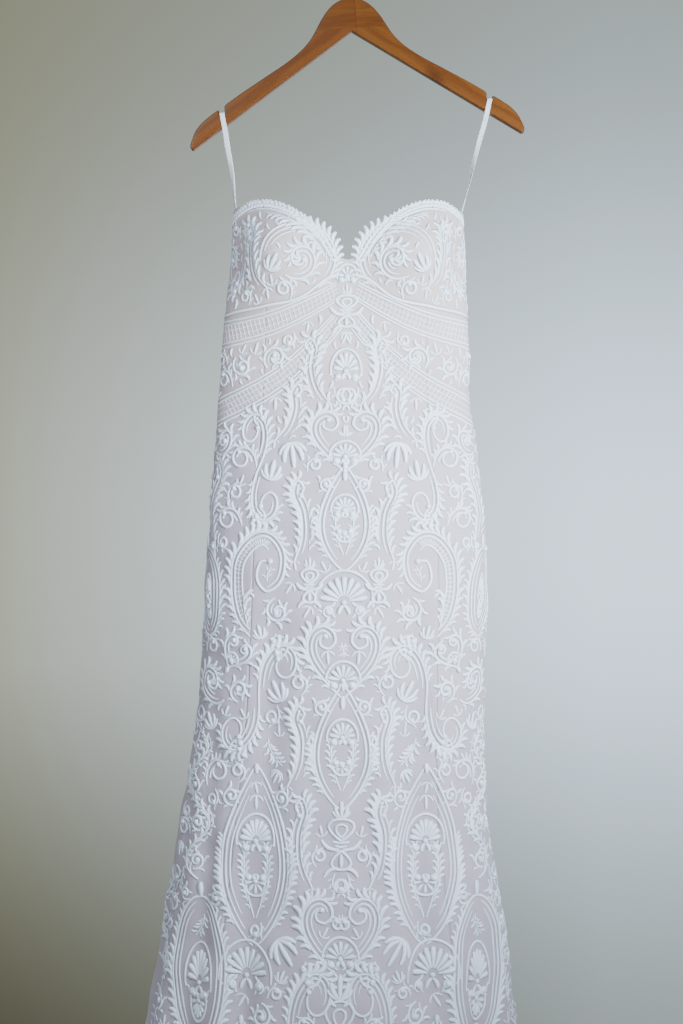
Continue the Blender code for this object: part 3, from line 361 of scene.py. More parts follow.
def to_angle(plane, across, height):
    """Angles at distances round the gown, read from a plane's tables."""
    row = np.clip((PLANE_TOP - height) / (PLANE_TOP - PLANE_FOOT) * (PLANE_ROWS - 1), 0, PLANE_ROWS - 1.001)
    i = row.astype(int)
    down = row - i
    angle = np.zeros_like(across)
    for side, (total, table) in zip((-1.0, 1.0), plane):
        reach = total[i] * (1 - down) + total[i + 1] * down
        share = np.clip(np.abs(across) / reach, 0.0, 1.0) * (PLANE_SHARES - 1.001)
        j = share.astype(int)
        on = share - j
        upper = table[i, j] * (1 - on) + table[i, j + 1] * on
        lower = table[i + 1, j] * (1 - on) + table[i + 1, j + 1] * on
        found = (upper * (1 - down) + lower * down) * side
        angle = np.where((across < 0) == (side < 0), found, angle)
    return angle


def link_object(name, data):
    made = bpy.data.objects.new(name, data)
    bpy.context.scene.collection.objects.link(made)
    return made


def link_mesh(name, bm, material):
    mesh = bpy.data.meshes.new(name)
    bm.to_mesh(mesh)
    bm.free()
    mesh.materials.append(material)
    return link_object(name, mesh)


def plain_mesh(guide):
    """The mesh that a guide object ends up as. The guide is removed."""
    bpy.context.view_layer.update()
    evaluated = guide.evaluated_get(bpy.context.evaluated_depsgraph_get())
    mesh = bpy.data.meshes.new_from_object(evaluated)
    bpy.data.objects.remove(guide, do_unlink=True)
    return mesh


def grid_mesh(name, points, material, coords=None):
    """A smooth sheet through a grid of points, with a UV map in metres."""
    rows, columns = points.shape[:2]
    number = np.arange(rows * columns).reshape(rows, columns)
    faces = np.stack([number[:-1, :-1], number[1:, :-1], number[1:, 1:], number[:-1, 1:]], axis=-1)
    faces = faces.reshape(-1, 4)
    mesh = bpy.data.meshes.new(name)
    mesh.from_pydata(points.reshape(-1, 3).tolist(), [], faces.tolist())
    if coords is not None:
        layer = mesh.uv_layers.new(name="cloth")
        layer.data.foreach_set("uv", coords.reshape(-1, 2)[faces.ravel()].ravel())
    mesh.materials.append(material)
    mesh.shade_smooth()
    return link_object(name, mesh)


def seam_places(first, last, count):
    """Angles across a panel, drawn together near its seams."""
    t = np.linspace(0.0, 1.0, count + 1)
    close = 0.5 - 0.5 * np.cos(math.pi * t)
    return first + (last - first) * (0.72 * t + 0.28 * close)


# Threads of the lace: each is its points in the lace's plane, its width at each point and its kind
LEAF_SHAPE = np.array((0.48, 0.80, 1.0, 0.96, 0.58))
SHELL_SHAPE = np.array((0.36, 0.60, 0.86, 1.0, 0.72))
CORD_SIDES = 5
POINT_STEP = 0.0034
LOOSE_STEP = 0.0036
CLOSE_STEP = 0.0032
BAR_PITCH = 0.0048
CORD_LIFT = 0.12
SEED_LIFT = 0.10
SEED_RELIEF = 0.6
THIN_TURN = math.radians(13.0)
THIN_REACH = 0.0062
NEST = 1.38
LACE_SCALE = 1.10


def thread(points, width, kind="cord"):
    points = np.asarray(points, dtype=float)
    return points, np.broadcast_to(np.asarray(width, dtype=float), (len(points),)).copy(), kind


def cord_width(share=1.0):
    return bpy.context.scene.gown_sizes.cord * share


def leaf_width(share=1.0):
    return bpy.context.scene.gown_sizes.leaf * share


def fine_width():
    return bpy.context.scene.gown_sizes.fine


def bead(place, share):
    """A round seed, its width as a share of a cord's."""
    return thread([place], cord_width(share), "bead")


def points_on(length, least, step=POINT_STEP):
    """How many points a line takes."""
    return max(least, int(length / step))


def turned(threads, degrees):
    turn = math.radians(degrees)
    matrix = np.array(((math.cos(turn), math.sin(turn)), (-math.sin(turn), math.cos(turn))))
    return [(line @ matrix, width, kind) for line, width, kind in threads]


def moved(threads, across, height):
    return [(line + (across, height), width, kind) for line, width, kind in threads]


def mirrored(threads):
    return [(line * (-1.0, 1.0), width, kind) for line, width, kind in threads]


def both_sides(threads):
    return threads + mirrored(threads)


def thinned(one):
    """A thread without the points where it hardly bends."""
    line, width, kind = one
    if len(line) <= len(LEAF_SHAPE):
        return one
    step = np.diff(line, axis=0)
    heading = np.unwrap(np.arctan2(step[:, 1], step[:, 0]))
    kept = [0]
    for place in range(1, len(line) - 1):
        bent = abs(heading[place] - heading[kept[-1]])
        if bent > THIN_TURN or np.linalg.norm(line[place + 1] - line[kept[-1]]) > THIN_REACH:
            kept.append(place)
    kept.append(len(line) - 1)
    return line[kept], width[kept], kind


def length_of(line):
    return float(np.linalg.norm(np.diff(line, axis=0), axis=1).sum())


def run_along(line):
    """How far along a line each of its points is."""
    return np.concatenate([[0.0], np.cumsum(np.linalg.norm(np.diff(line, axis=0), axis=1))])


def read_at(line, places, at):
    """Points of a line at some places, where its own points are at the given ones."""
    return np.stack([np.interp(at, places, line[:, axis]) for axis in (0, 1)], axis=1)


def evened(line, count):
    """A line with its points spaced evenly along it."""
    along = run_along(line)
    return read_at(line, along, np.linspace(0.0, along[-1], count))


def sides_of(line):
    forward = np.gradient(line, axis=0)
    forward /= np.maximum(np.linalg.norm(forward, axis=1, keepdims=True), 1e-9)
    return forward, np.stack([-forward[:, 1], forward[:, 0]], axis=1)


def beside(line, offset, first=0.0, last=1.0):
    """The stretch of a line between two shares of its length, moved to its left."""
    place = np.linspace(0.0, 1.0, len(line))
    count = max(3, int(round((last - first) * len(line))))
    shifted = line + sides_of(line)[1] * offset
    return read_at(shifted, place, np.linspace(first, last, count))


def taper(count, start=0.35, end=0.35, full=1.0):
    """Widths that swell from both ends, as shares."""
    t = np.linspace(0.0, 1.0, count)
    ends = start * (1 - t) + end * t
    return ends + (full - ends) * np.sin(math.pi * t) ** 0.7


def smooth_line(corners, points):
    """A smooth line through a few corners."""
    corners = np.asarray(corners, dtype=float)
    place = np.linspace(0.0, 1.0, len(corners))
    t = np.linspace(0.0, 1.0, points)
    return np.stack([smooth_through(place, corners[:, axis], t) for axis in (0, 1)], axis=1)


def bending_line(heading, length, turn, power=1.0):
    """A line that starts at a heading from straight up and bends to its right, later with more power."""
    share = np.linspace(0.0, 1.0, points_on(length, 7, CLOSE_STEP))
    angle = np.radians(heading + turn * share ** power)
    step = length / (len(share) - 1)
    line = np.stack([np.cumsum(np.sin(angle)), np.cumsum(np.cos(angle))], axis=1) * step
    return line - line[0]


def lobe(base, heading, length, bend, width):
    """One fat leaf that bows to its left by a share of its length."""
    forward = np.array((math.sin(math.radians(heading)), math.cos(math.radians(heading)))) * length
    left = np.array((-forward[1], forward[0]))
    t = np.linspace(0.0, 1.0, len(LEAF_SHAPE))[:, None]
    line = np.asarray(base) + forward * t + left * bend * np.sin(math.pi * t)
    return thread(line, width * LEAF_SHAPE)


def acanthus(line, side, size, pitch=0.0068, first=0.04, last=0.92, lean=36.0):
    """Fat leaves that lie along one side of a line, side 1 for its left."""
    forward, left = sides_of(line)
    count = max(2, int(length_of(line) * (last - first) / pitch))
    made = []
    for step in range(count):
        share = (step + 0.5) / count
        place = min(int((first + (last - first) * share) * (len(line) - 1)), len(line) - 1)
        heading = math.degrees(math.atan2(forward[place][0], forward[place][1]))
        reach = size * (0.70 + 0.48 * math.sin(math.pi * share))
        base = line[place] + left[place] * side * cord_width() * 0.55
        made.append(lobe(base, heading - side * lean, reach, -0.24 * side, min(0.45 * reach, leaf_width())))
    return made


def nested(line, side, cords, first=0.0, last=1.0):
    """Parallel cords beside a line, each shorter than the one before."""
    made = [thread(line, cord_width() * taper(len(line), 0.75, 0.75, 1.08))]
    for number in range(1, cords):
        trim = 0.07 * number
        inner = beside(line, side * cord_width(NEST) * number, first + trim, last - trim)
        made.append(thread(inner, cord_width(1.0 - 0.14 * number) * taper(len(inner), 0.5, 0.4)))
    return made


def trellis_between(outer, inner, first=0.06, last=0.94):
    """Fine bars between two lines, with one rail half way."""
    count = max(3, int(length_of(outer) * (last - first) / BAR_PITCH))
    share = np.linspace(first, last, count)
    ends = [read_at(line, np.linspace(0.0, 1.0, len(line)), share) for line in (outer, inner)]
    made = [thread(bar, BAR_WIDTH) for bar in zip(*ends)]
    made.append(thread((ends[0] + ends[1]) / 2, BAR_WIDTH))
    return made


def drop_line(width, length, points=18):
    """A teardrop that starts and ends at its point and is rounded at its top."""
    t = np.linspace(0.0, 1.0, points)
    return np.stack([width * np.sin(2 * math.pi * t) * np.sin(math.pi * t),
                     length * (1 - np.cos(2 * math.pi * t)) / 2], axis=1)


# Motifs, each about its middle, with its half width and half length
def scroll(width, length):
    """A nested scroll that curls inwards to an eye, with leaves on its outside."""
    big = min(width, length)
    count = points_on(2 * math.pi * 1.5 * big, 14)
    t = np.linspace(0.0, 1.0, count)
    turn = -math.pi * 0.62 + 2 * math.pi * 1.32 * t
    reach = 0.80 - 0.66 * t ** 0.85
    line = np.stack([width * reach * np.cos(turn), length * reach * np.sin(turn)], axis=1)
    cords = 3 if big > 0.024 else 2 if big > 0.013 else 1
    made = [thread(line, cord_width() * taper(count, 0.7, 0.9, 1.15))]
    for number in range(1, cords):
        last = 0.90 - 0.22 * number
        inner = beside(line, cord_width(NEST) * number, 0.05 * number, last)
        made.append(thread(inner, cord_width(0.9) * taper(len(inner), 0.5, 0.35)))
    made += acanthus(line, -1, 0.20 * big + 0.0060, 0.0070, 0.02, 0.70)
    made.append(bead(line[-1], 1.9))
    if big > 0.02:
        for angle in (-46.0, -86.0, -126.0):
            made.append(lobe((0.02 * big, 0.02 * big), angle, 0.34 * big, 0.25, 0.10 * big + 0.0014))
    return made


def ogee(width, length):
    """A lyre: two doubled stems that swell and close in a point, with curls, leaves and a fan inside."""
    t = np.linspace(0.0, 1.0, points_on(2.2 * length, 14))
    swell = np.sin(math.pi * t ** 0.85) ** 0.9
    right = np.stack([width * 0.86 * swell + cord_width(0.5), length * (2 * t - 1)], axis=1)
    cords = 3 if width > 0.04 else 2
    half = nested(right, 1, cords)
    half += acanthus(right, -1, 0.13 * width + 0.0075, 0.0080, 0.10, 0.60)
    size = 0.26 * width + 0.003
    half += moved(scroll(size, size), 0.66 * width, 0.66 * length)
    inner = width * 0.86 - cord_width(NEST) * cords
    if inner > 0.012:
        stem = smooth_line(((0.0016, -0.70 * length), (0.42 * inner, -0.42 * length),
                            (0.62 * inner, -0.05 * length), (0.26 * inner, 0.26 * length)),
                           points_on(length, 10))
        half.append(thread(stem, fine_width() * taper(len(stem), 0.8, 0.8, 1.2)))
        half += acanthus(stem, -1, 0.26 * inner + 0.0028, 0.0075, 0.12, 0.86)
        half += acanthus(stem, 1, 0.22 * inner + 0.0024, 0.0085, 0.30, 0.92)
    made = both_sides(half)
    made += moved(palmette(0.50 * width, 0.30 * length), 0.0, 0.16 * length)
    made += moved(turned(palmette(0.36 * width, 0.16 * length), 180.0), 0.0, -0.30 * length)
    made += [lobe((0.0, length * 0.93), 0.0, 0.012, 0.0, leaf_width())]
    return made


def palmette(width, length):
    """A shell of round-ended leaves under a bow, with curls at the foot."""
    count = 9 if length > 0.030 else 7 if length > 0.018 else 5
    reach = np.array((min(width, length), length))
    made = []
    for angle in np.radians(np.linspace(-80.0, 80.0, count)):
        way = np.array((math.sin(angle), math.cos(angle)))
        line = way * reach * np.linspace(0.20, 0.80, len(SHELL_SHAPE))[:, None]
        made.append(thread(line, SHELL_SHAPE * min(0.22 * length + 0.0010, leaf_width(1.1))))
    turn = np.radians(np.linspace(-100.0, 100.0, max(12, int(length * 900))))
    bow = np.stack([np.sin(turn), np.cos(turn)], axis=1) * reach
    made.append(thread(bow, cord_width() * taper(len(bow), 0.7, 0.7)))
    size = 0.20 * width + 0.002
    if size > 0.0045:
        made += both_sides(moved(turned(scroll(size, size), 30.0), 0.52 * width, -0.30 * length))
    made.append(bead((0.0, -0.02 * length), 1.8))
    made += both_sides([lobe((0.0, -0.10 * length), 150.0, 0.34 * length, 0.12, leaf_width(0.8))])
    return made


def s_scroll(width, length):
    """Two nested scrolls that curl opposite ways on one stem, with leaves where they meet."""
    line = bending_line(-14.0, 3.0 * length, 395.0, 1.9)
    line = line * (width * 1.05 / max(line[:, 0].max(), 1e-6), length / max(line[:, 1].max(), 1e-6))
    cords = 3 if width > 0.034 else 2
    half = nested(line, -1, cords, 0.0, 0.80)
    half += acanthus(line, 1, 0.16 * width + 0.0075, 0.0076, 0.10, 0.70)
    half.append(bead(line[-1], 1.9))
    half += moved(turned(palmette(0.34 * width, 0.34 * width), -64.0), *line[int(len(line) * 0.42)])
    return half + turned(half, 180.0)


def paisley(width, length):
    """A hooked drop: nested outline, trellis inside its back, a leafy stem inside and leaves outside."""
    corners = ((-0.10, -1.0), (0.46, -0.72), (0.86, -0.18), (0.92, 0.38), (0.52, 0.86), (-0.06, 0.96),
               (-0.58, 0.66), (-0.66, 0.18), (-0.30, -0.10), (0.06, 0.08), (0.06, 0.40), (-0.22, 0.46))
    size = np.array((width, length))
    outer = smooth_line(np.array(corners) * (0.92 * size), points_on(4.4 * length, 30, LOOSE_STEP))
    made = [thread(outer, cord_width() * taper(len(outer), 0.6, 0.9, 1.12))]
    back = beside(outer, cord_width(NEST), 0.02, 0.72)
    made.append(thread(back, cord_width(0.9) * taper(len(back), 0.6, 0.5)))
    rail = beside(outer, cord_width(NEST) + 0.24 * width, 0.05, 0.50)
    made.append(thread(rail, cord_width(0.8) * taper(len(rail), 0.4, 0.5)))
    made += trellis_between(beside(outer, cord_width(NEST), 0.05, 0.50), rail)
    made += acanthus(outer, -1, 0.10 * width + 0.0085, 0.0078, 0.03, 0.62)
    inner = smooth_line(np.array(((0.02, -0.78), (0.24, -0.46), (0.30, -0.22), (0.12, -0.16))) * size, 12)
    made.append(thread(inner, cord_width() * taper(12)))
    made += acanthus(inner, 1, 0.16 * width + 0.003, 0.0075, 0.05, 0.9)
    made.append(bead(outer[-1], 2.0))
    return made


def spray_of(size, count):
    """Fat leaves fanned from a point."""
    made = []
    for step in range(count):
        angle = (step - (count - 1) / 2) * 104.0 / max(count - 1, 1)
        reach = size * (1.0 - abs(angle) / 160.0)
        made.append(lobe((0.0, 0.0), angle, reach, -0.14 * np.sign(angle), min(0.30 * reach, leaf_width())))
    return made


def sprig(size):
    """A bent stem with fat leaves on both sides."""
    line = smooth_line(np.array(((0.0, -1.0), (0.16, -0.35), (0.06, 0.35), (-0.15, 1.0))) * size, 12)
    made = [thread(line, fine_width() * taper(12, 0.9, 0.5))]
    made += acanthus(line, 1, 0.40 * size + 0.002, 0.0060, 0.10, 0.95, 48.0)
    made += acanthus(line, -1, 0.40 * size + 0.002, 0.0060, 0.02, 0.90, 48.0)
    return made


def cartouche(width, length):
    """An oval shield of nested cords with curled ears, leaves outside and a sprig inside."""
    t = np.linspace(-math.pi / 2, math.pi / 2, points_on(3.0 * length, 14, LOOSE_STEP))
    right = np.stack([width * 0.86 * np.cos(t), length * np.sin(t)], axis=1)
    cords = 3 if width > 0.026 else 2
    half = nested(right, 1, cords)
    half += acanthus(right, -1, 0.10 * width + 0.0075, 0.0078, 0.04, 0.80)
    ear = scroll(0.22 * width + 0.002, 0.20 * width + 0.003)
    half += moved(turned(ear, -30.0), 0.50 * width, 1.02 * length)
    made = both_sides(half)
    inner = width * 0.86 - cord_width(NEST) * cords
    made += moved(palmette(0.9 * inner, 0.50 * length), 0.0, -0.10 * length)
    made += moved(turned(palmette(0.6 * inner, 0.26 * length), 180.0), 0.0, -0.34 * length)
    made += [lobe((0.0, 1.0 * length), 0.0, 0.018, 0.0, leaf_width(1.2))]
    return made


def plume(width, length):
    """A tall nested stem that curls at its head, with fat leaves on both sides."""
    corners = np.array(((-0.1, -1.0), (0.34, -0.45), (0.26, 0.15), (-0.24, 0.62), (0.00, 0.94), (0.46, 0.80),
                        (0.30, 0.58)))
    line = smooth_line(corners * (width, length), points_on(2.4 * length, 16))
    made = nested(line, -1, 3 if width > 0.016 else 2, 0.0, 0.84)
    made += acanthus(line, 1, 0.36 * width + 0.0072, 0.0076, 0.03, 0.78)
    inner = beside(line, -cord_width(NEST) * 1.9, 0.05, 0.42)
    made += acanthus(inner, -1, 0.30 * width + 0.0060, 0.0100, 0.10, 0.95)
    made.append(bead(line[-1], 1.8))
    made += moved(turned(spray_of(0.40 * width + 0.004, 3), 190.0), *line[0])
    return made


def column_of(width, length):
    """A turned column: drops, rings and a fan of leaves on top."""
    made = moved([thread(drop_line(0.80 * width, 0.50 * length), cord_width())], 0.0, 0.02 * length)
    made += moved([thread(drop_line(0.36 * width, 0.30 * length, 12), cord_width(0.9))], 0.0, 0.10 * length)
    for height, half in ((0.0, 0.8), (-0.09, 0.55), (-0.18, 0.9)):
        made.append(thread(((-half * width / 2, height * length), (0.0, (height - 0.025) * length),
                            (half * width / 2, height * length)), cord_width(0.85)))
    hung = [thread(drop_line(0.62 * width, 0.42 * length, 14), cord_width())]
    made += moved(turned(hung, 180.0), 0.0, -0.20 * length)
    hung = [lobe((0.0, 0.0), 0.0, 0.30 * length, 0.0, leaf_width(0.8))]
    made += moved(turned(hung, 180.0), 0.0, -0.26 * length)
    made += moved(spray_of(0.38 * length, 5), 0.0, 0.54 * length)
    made += both_sides([lobe((0.1 * width, -0.16 * length), 64.0, 0.95 * width, -0.2, leaf_width(0.8)),
                        lobe((0.1 * width, -0.60 * length), 118.0, 0.80 * width, 0.2, leaf_width(0.8))])
    return made


def vine(width, length):
    """A stem that bends from side to side, with a curl and leaves in each bend."""
    t = np.linspace(-1.0, 1.0, points_on(2.6 * length, 18))
    bends = max(1, int(round(length / 0.045)))
    line = np.stack([0.42 * width * np.sin(math.pi * bends * t), length * t], axis=1)
    made = nested(line, 1, 2)
    for bend in range(2 * bends):
        share = (bend + 0.5) / (2 * bends)
        spot = line[int(share * (len(line) - 1))]
        side = 1.0 if spot[0] < 0 else -1.0
        size = min(0.42 * width, 0.30 * length / bends)
        made += moved([(curve * (side, 1.0), thick, kind) for curve, thick, kind in scroll(size, size)],
                      spot[0] + side * size * 1.25, spot[1])
    made += acanthus(line, 1, 0.0105, 0.0105, 0.03, 0.97)
    made += acanthus(line, -1, 0.0105, 0.0105, 0.05, 0.99)
    return made


def curl(size):
    """A tendril that curls up to a round end, with leaves on the outside of its tail."""
    line = bending_line(-20.0, 1.0, 470.0, 1.55)[::14]
    low, high = line.min(axis=0), line.max(axis=0)
    line = (line - (low + high) / 2) * (0.88 * size / max((high - low) / 2))
    made = [thread(line, cord_width() * taper(len(line), 0.45, 0.9, 1.1))]
    if size > 0.0125:
        made.append(thread(beside(line, -cord_width(NEST), 0.08, 0.52), cord_width(0.8)))
    made += acanthus(line, 1, 0.34 * size + 0.0026, 0.0066, 0.06, 0.56)
    made.append(bead(line[-1], 1.7))
    return made


def arcs(width, length):
    """Three nested bows with leaves outside, open below."""
    turn = np.radians(np.linspace(-62.0, 176.0, points_on(4.0 * length, 16, LOOSE_STEP)))
    line = np.stack([width * np.cos(turn), length * np.sin(turn)], axis=1)
    made = nested(line, 1, 3)
    made += acanthus(line, -1, 0.0125, 0.0080, 0.03, 0.72)
    return made


def heart(width, length):
    """Two mirrored scrolls on stems that meet below in a point, with a fan between them."""
    corners = np.array(((0.04, -1.0), (0.38, -0.66), (0.70, -0.30), (0.90, 0.06), (0.94, 0.42), (0.80, 0.72),
                        (0.52, 0.84), (0.27, 0.70), (0.21, 0.44), (0.38, 0.26), (0.58, 0.34), (0.60, 0.52),
                        (0.46, 0.58)))
    line = smooth_line(corners * (0.90 * width, 0.90 * length), points_on(4.0 * length, 22, LOOSE_STEP))
    half = nested(line, 1, 3 if width > 0.03 else 2, 0.0, 0.70)
    half.append(bead(line[-1], 1.9))
    half += acanthus(line, -1, 0.12 * width + 0.0075, 0.0080, 0.06, 0.60)
    made = both_sides(half)
    made += moved(palmette(0.40 * width, 0.44 * length), 0.0, -0.50 * length)
    made += [lobe((0.0, -0.86 * length), 180.0, 0.22 * length + 0.004, 0.0, leaf_width())]
    return made


MOTIFS = {
    "spiral": scroll,
    "ogee": ogee,
    "palmette": palmette,
    "s_scroll": s_scroll,
    "paisley": paisley,
    "cartouche": cartouche,
    "plume": plume,
    "column": column_of,
    "vine": vine,
    "arcs": arcs,
    "heart": heart,
}

# Lace layout, one half of each, from the centre front or the centre back:
# motif, distance round the gown, height, half width, half length, turn, flip
FRONT_LACE = (
    ("spiral", 0.062, -0.412, 0.031, 0.031, 20.0, True),
    ("arcs", 0.066, -0.410, 0.046, 0.041, -8.0, True),
    ("plume", 0.122, -0.404, 0.022, 0.042, 20.0, False),
    ("s_scroll", 0.150, -0.404, 0.018, 0.040, 6.0, True),
    ("spiral", 0.186, -0.404, 0.020, 0.036, 10.0, False),
    ("palmette", 0.000, -0.432, 0.012, 0.014, 0.0, False),
    ("column", 0.000, -0.474, 0.020, 0.032, 0.0, False),
    ("plume", 0.034, -0.552, 0.018, 0.042, 16.0, False),
    ("palmette", 0.000, -0.552, 0.018, 0.026, 0.0, False),
    ("spiral", 0.092, -0.534, 0.020, 0.020, -60.0, False),
    ("spiral", 0.138, -0.544, 0.017, 0.018, 120.0, True),
    ("heart", 0.000, -0.640, 0.048, 0.042, 0.0, False),
    ("plume", 0.076, -0.604, 0.016, 0.036, 20.0, True),
    ("s_scroll", 0.112, -0.676, 0.030, 0.060, -12.0, False),
    ("ogee", 0.000, -0.742, 0.032, 0.060, 0.0, False),
    ("plume", 0.062, -0.744, 0.018, 0.048, 0.0, True),
    ("spiral", 0.166, -0.640, 0.020, 0.026, 30.0, True),
    ("plume", 0.176, -0.722, 0.018, 0.052, -6.0, False),
    ("paisley", 0.112, -0.826, 0.044, 0.068, -12.0, False),
    ("column", 0.044, -0.826, 0.016, 0.034, 0.0, False),
    ("palmette", 0.000, -0.848, 0.034, 0.036, 0.0, False),
    ("cartouche", 0.194, -0.838, 0.026, 0.052, 6.0, False),
    ("heart", 0.000, -0.920, 0.050, 0.050, 0.0, False),
    ("s_scroll", 0.110, -0.972, 0.036, 0.066, 10.0, True),
    ("ogee", 0.000, -1.032, 0.036, 0.070, 0.0, False),
    ("spiral", 0.182, -0.954, 0.028, 0.038, 30.0, False),
    ("plume", 0.062, -1.030, 0.018, 0.048, 6.0, True),
    ("ogee", 0.112, -1.170, 0.046, 0.100, 0.0, False),
    ("column", 0.000, -1.150, 0.024, 0.050, 0.0, False),
    ("plume", 0.044, -1.150, 0.018, 0.052, 6.0, False),
    ("vine", 0.200, -1.110, 0.044, 0.088, 4.0, False),
    ("heart", 0.000, -1.262, 0.052, 0.052, 0.0, False),
    ("s_scroll", 0.064, -1.392, 0.038, 0.080, 8.0, True),
    ("column", 0.000, -1.380, 0.026, 0.070, 0.0, False),
    ("palmette", 0.122, -1.316, 0.032, 0.038, 0.0, False),
    ("cartouche", 0.190, -1.322, 0.044, 0.086, 0.0, False),
    ("vine", 0.268, -1.290, 0.040, 0.090, 6.0, False),
    ("ogee", 0.128, -1.448, 0.036, 0.070, 0.0, False),
    ("heart", 0.206, -1.464, 0.040, 0.044, 0.0, False),
    ("ogee", 0.000, -1.570, 0.046, 0.094, 0.0, False),
    ("spiral", 0.096, -1.590, 0.044, 0.054, 180.0, True),
    ("s_scroll", 0.186, -1.590, 0.040, 0.078, 8.0, False),
    ("vine", 0.272, -1.520, 0.044, 0.110, 6.0, False),
)
BACK_LACE = (
    ("spiral", 0.142, -0.436, 0.034, 0.038, 10.0, True),
    ("palmette", 0.066, -0.450, 0.020, 0.022, 0.0, False),
    ("spiral", 0.092, -0.530, 0.024, 0.026, -60.0, False),
    ("spiral", 0.036, -0.640, 0.028, 0.038, 10.0, False),
    ("plume", 0.036, -0.552, 0.018, 0.042, 10.0, False),
    ("spiral", 0.160, -0.552, 0.020, 0.024, 120.0, True),
    ("ogee", 0.098, -0.716, 0.038, 0.080, 0.0, False),
    ("plume", 0.036, -0.748, 0.018, 0.052, 4.0, False),
    ("plume", 0.172, -0.672, 0.020, 0.060, 0.0, True),
    ("heart", 0.000, -0.862, 0.050, 0.050, 0.0, False),
    ("s_scroll", 0.096, -0.914, 0.038, 0.080, 10.0, True),
    ("cartouche", 0.184, -0.836, 0.028, 0.056, 0.0, False),
    ("ogee", 0.000, -0.990, 0.040, 0.070, 0.0, False),
    ("vine", 0.188, -1.010, 0.044, 0.090, 0.0, False),
    ("palmette", 0.076, -1.046, 0.030, 0.036, 0.0, False),
    ("heart", 0.000, -1.124, 0.054, 0.054, 0.0, False),
    ("s_scroll", 0.112, -1.190, 0.044, 0.096, 8.0, True),
    ("ogee", 0.000, -1.262, 0.044, 0.074, 0.0, False),
    ("cartouche", 0.204, -1.200, 0.034, 0.070, 0.0, False),
    ("palmette", 0.000, -1.376, 0.036, 0.040, 0.0, False),
    ("cartouche", 0.124, -1.410, 0.044, 0.090, 0.0, False),
    ("heart", 0.000, -1.470, 0.052, 0.054, 0.0, False),
    ("vine", 0.236, -1.400, 0.044, 0.100, 0.0, False),
    ("ogee", 0.000, -1.612, 0.044, 0.080, 0.0, False),
    ("s_scroll", 0.216, -1.590, 0.044, 0.086, 6.0, False),
    ("heart", 0.118, -1.600, 0.046, 0.060, 0.0, False),
)

# Trellis bands: ends, sag, width between the outer rails, bars
BANDS = (
    (0.012, -0.450, 0.186, -0.502, 0.013, 0.023, 30),
    (0.010, -0.486, 0.190, -0.606, 0.020, 0.023, 36),
)
RAIL_WIDTH = 0.0028
BAR_WIDTH = 0.0014
BAND_RAILS = ((0.72, RAIL_WIDTH), (0.50, RAIL_WIDTH), (0.17, BAR_WIDTH),
              (-0.17, BAR_WIDTH), (-0.50, RAIL_WIDTH), (-0.72, RAIL_WIDTH))

# Upper edge: the side of its line that is outside, before and behind, and its rows of leaves:
# pitch, reach, lean and distance from the edge. Then how far in its cord lies, its points and its angles
EDGE_SIDE = (1.0, -1.0)
EDGE_ROWS = ((0.0062, 0.0090, 80.0, 0.0018), (0.0058, 0.0082, 116.0, 0.0046))
EDGE_INSET = 0.0066
EDGE_POINTS = 110
EDGE_ANGLES = ((3.0, 89.0), (178.0, 92.0))

# Filling: cell of the map of clear space, its reach and its width
CELL = 0.003
CLEAR_REACH = 0.045
MAP_WIDTH = 0.48

# What the map keeps clear: under the upper edge, over the hem, beside the zip and beside the slider
FILL_EDGE_MARGIN = 0.004
FILL_HEM_MARGIN = 0.006
FILL_ZIP_MARGIN = 0.004
FILL_SLIDER_MARGIN = 0.009

# Rounds that are filled: the least on both sides, the least on the left alone, the largest,
# the gap inside a round, the share of it that is taken, how many are tried, and the seeds of the draws
SMALLEST_FILL = 0.0052
SMALLEST_FILL_LEFT = 0.011
LARGEST_FILL = 0.032
FILL_GAP = 0.0012
FILL_SHARE = 0.92
FILL_COUNT = 900
FILL_SEED = 11
FILL_SEED_LEFT = 23

# Below the bodice the least grows by a share, over some height
FILL_OPENS = -0.58
FILL_OPEN_REACH = 0.12
FILL_OPEN_SHARE = 0.60

# Rounds over these sizes take a scroll or a heart, a curl, and a spray
LARGE_ROUND = 0.020
MIDDLE_ROUND = 0.0090
SMALL_ROUND = 0.0068


def trellis(start, end, sag, width, bars):
    """Rails that sweep down to the side, and the fine bars between them."""
    t = np.linspace(0.0, 1.0, bars + 1)[:, None]
    start = np.array(start)
    end = np.array(end)
    along = (end - start) / np.linalg.norm(end - start)
    across = np.array((-along[1], along[0]))
    spread = width * (0.62 + 0.48 * t)
    middle = start + (end - start) * t - across * sag * np.sin(math.pi * t)
    made = []
    for share, wide in BAND_RAILS:
        made.append(thread(middle + across * spread * share, wide))
    upper = middle + across * spread / 2
    lower = middle - across * spread / 2
    for bar in range(1, bars):
        made.append(thread((upper[bar], lower[bar]), BAR_WIDTH))
    return made


def layout(table):
    threads = []
    for motif, across, height, width, length, turn, flip in table:
        shape = turned(MOTIFS[motif](width * LACE_SCALE, length * LACE_SCALE), -turn)
        if flip:
            shape = mirrored(shape)
        shape = moved(shape, across, height)
        threads += shape if across == 0.0 else both_sides(shape)
    return threads


def edging(rim, side):
    """Two rows of small fat leaves that lie along the gown's upper edge, the outer ones longer."""
    left = sides_of(rim)[1]
    made = []
    for pitch, reach, lean, inset in EDGE_ROWS:
        count = int(length_of(rim) / pitch)
        for step in range(count):
            place = int((step + 0.5) / count * (len(rim) - 1))
            out = left[place] * side
            heading = math.degrees(math.atan2(out[0], out[1])) + side * lean
            made.append(lobe(rim[place] - out * inset, heading, reach, -0.26 * side, leaf_width(0.72)))
    return made


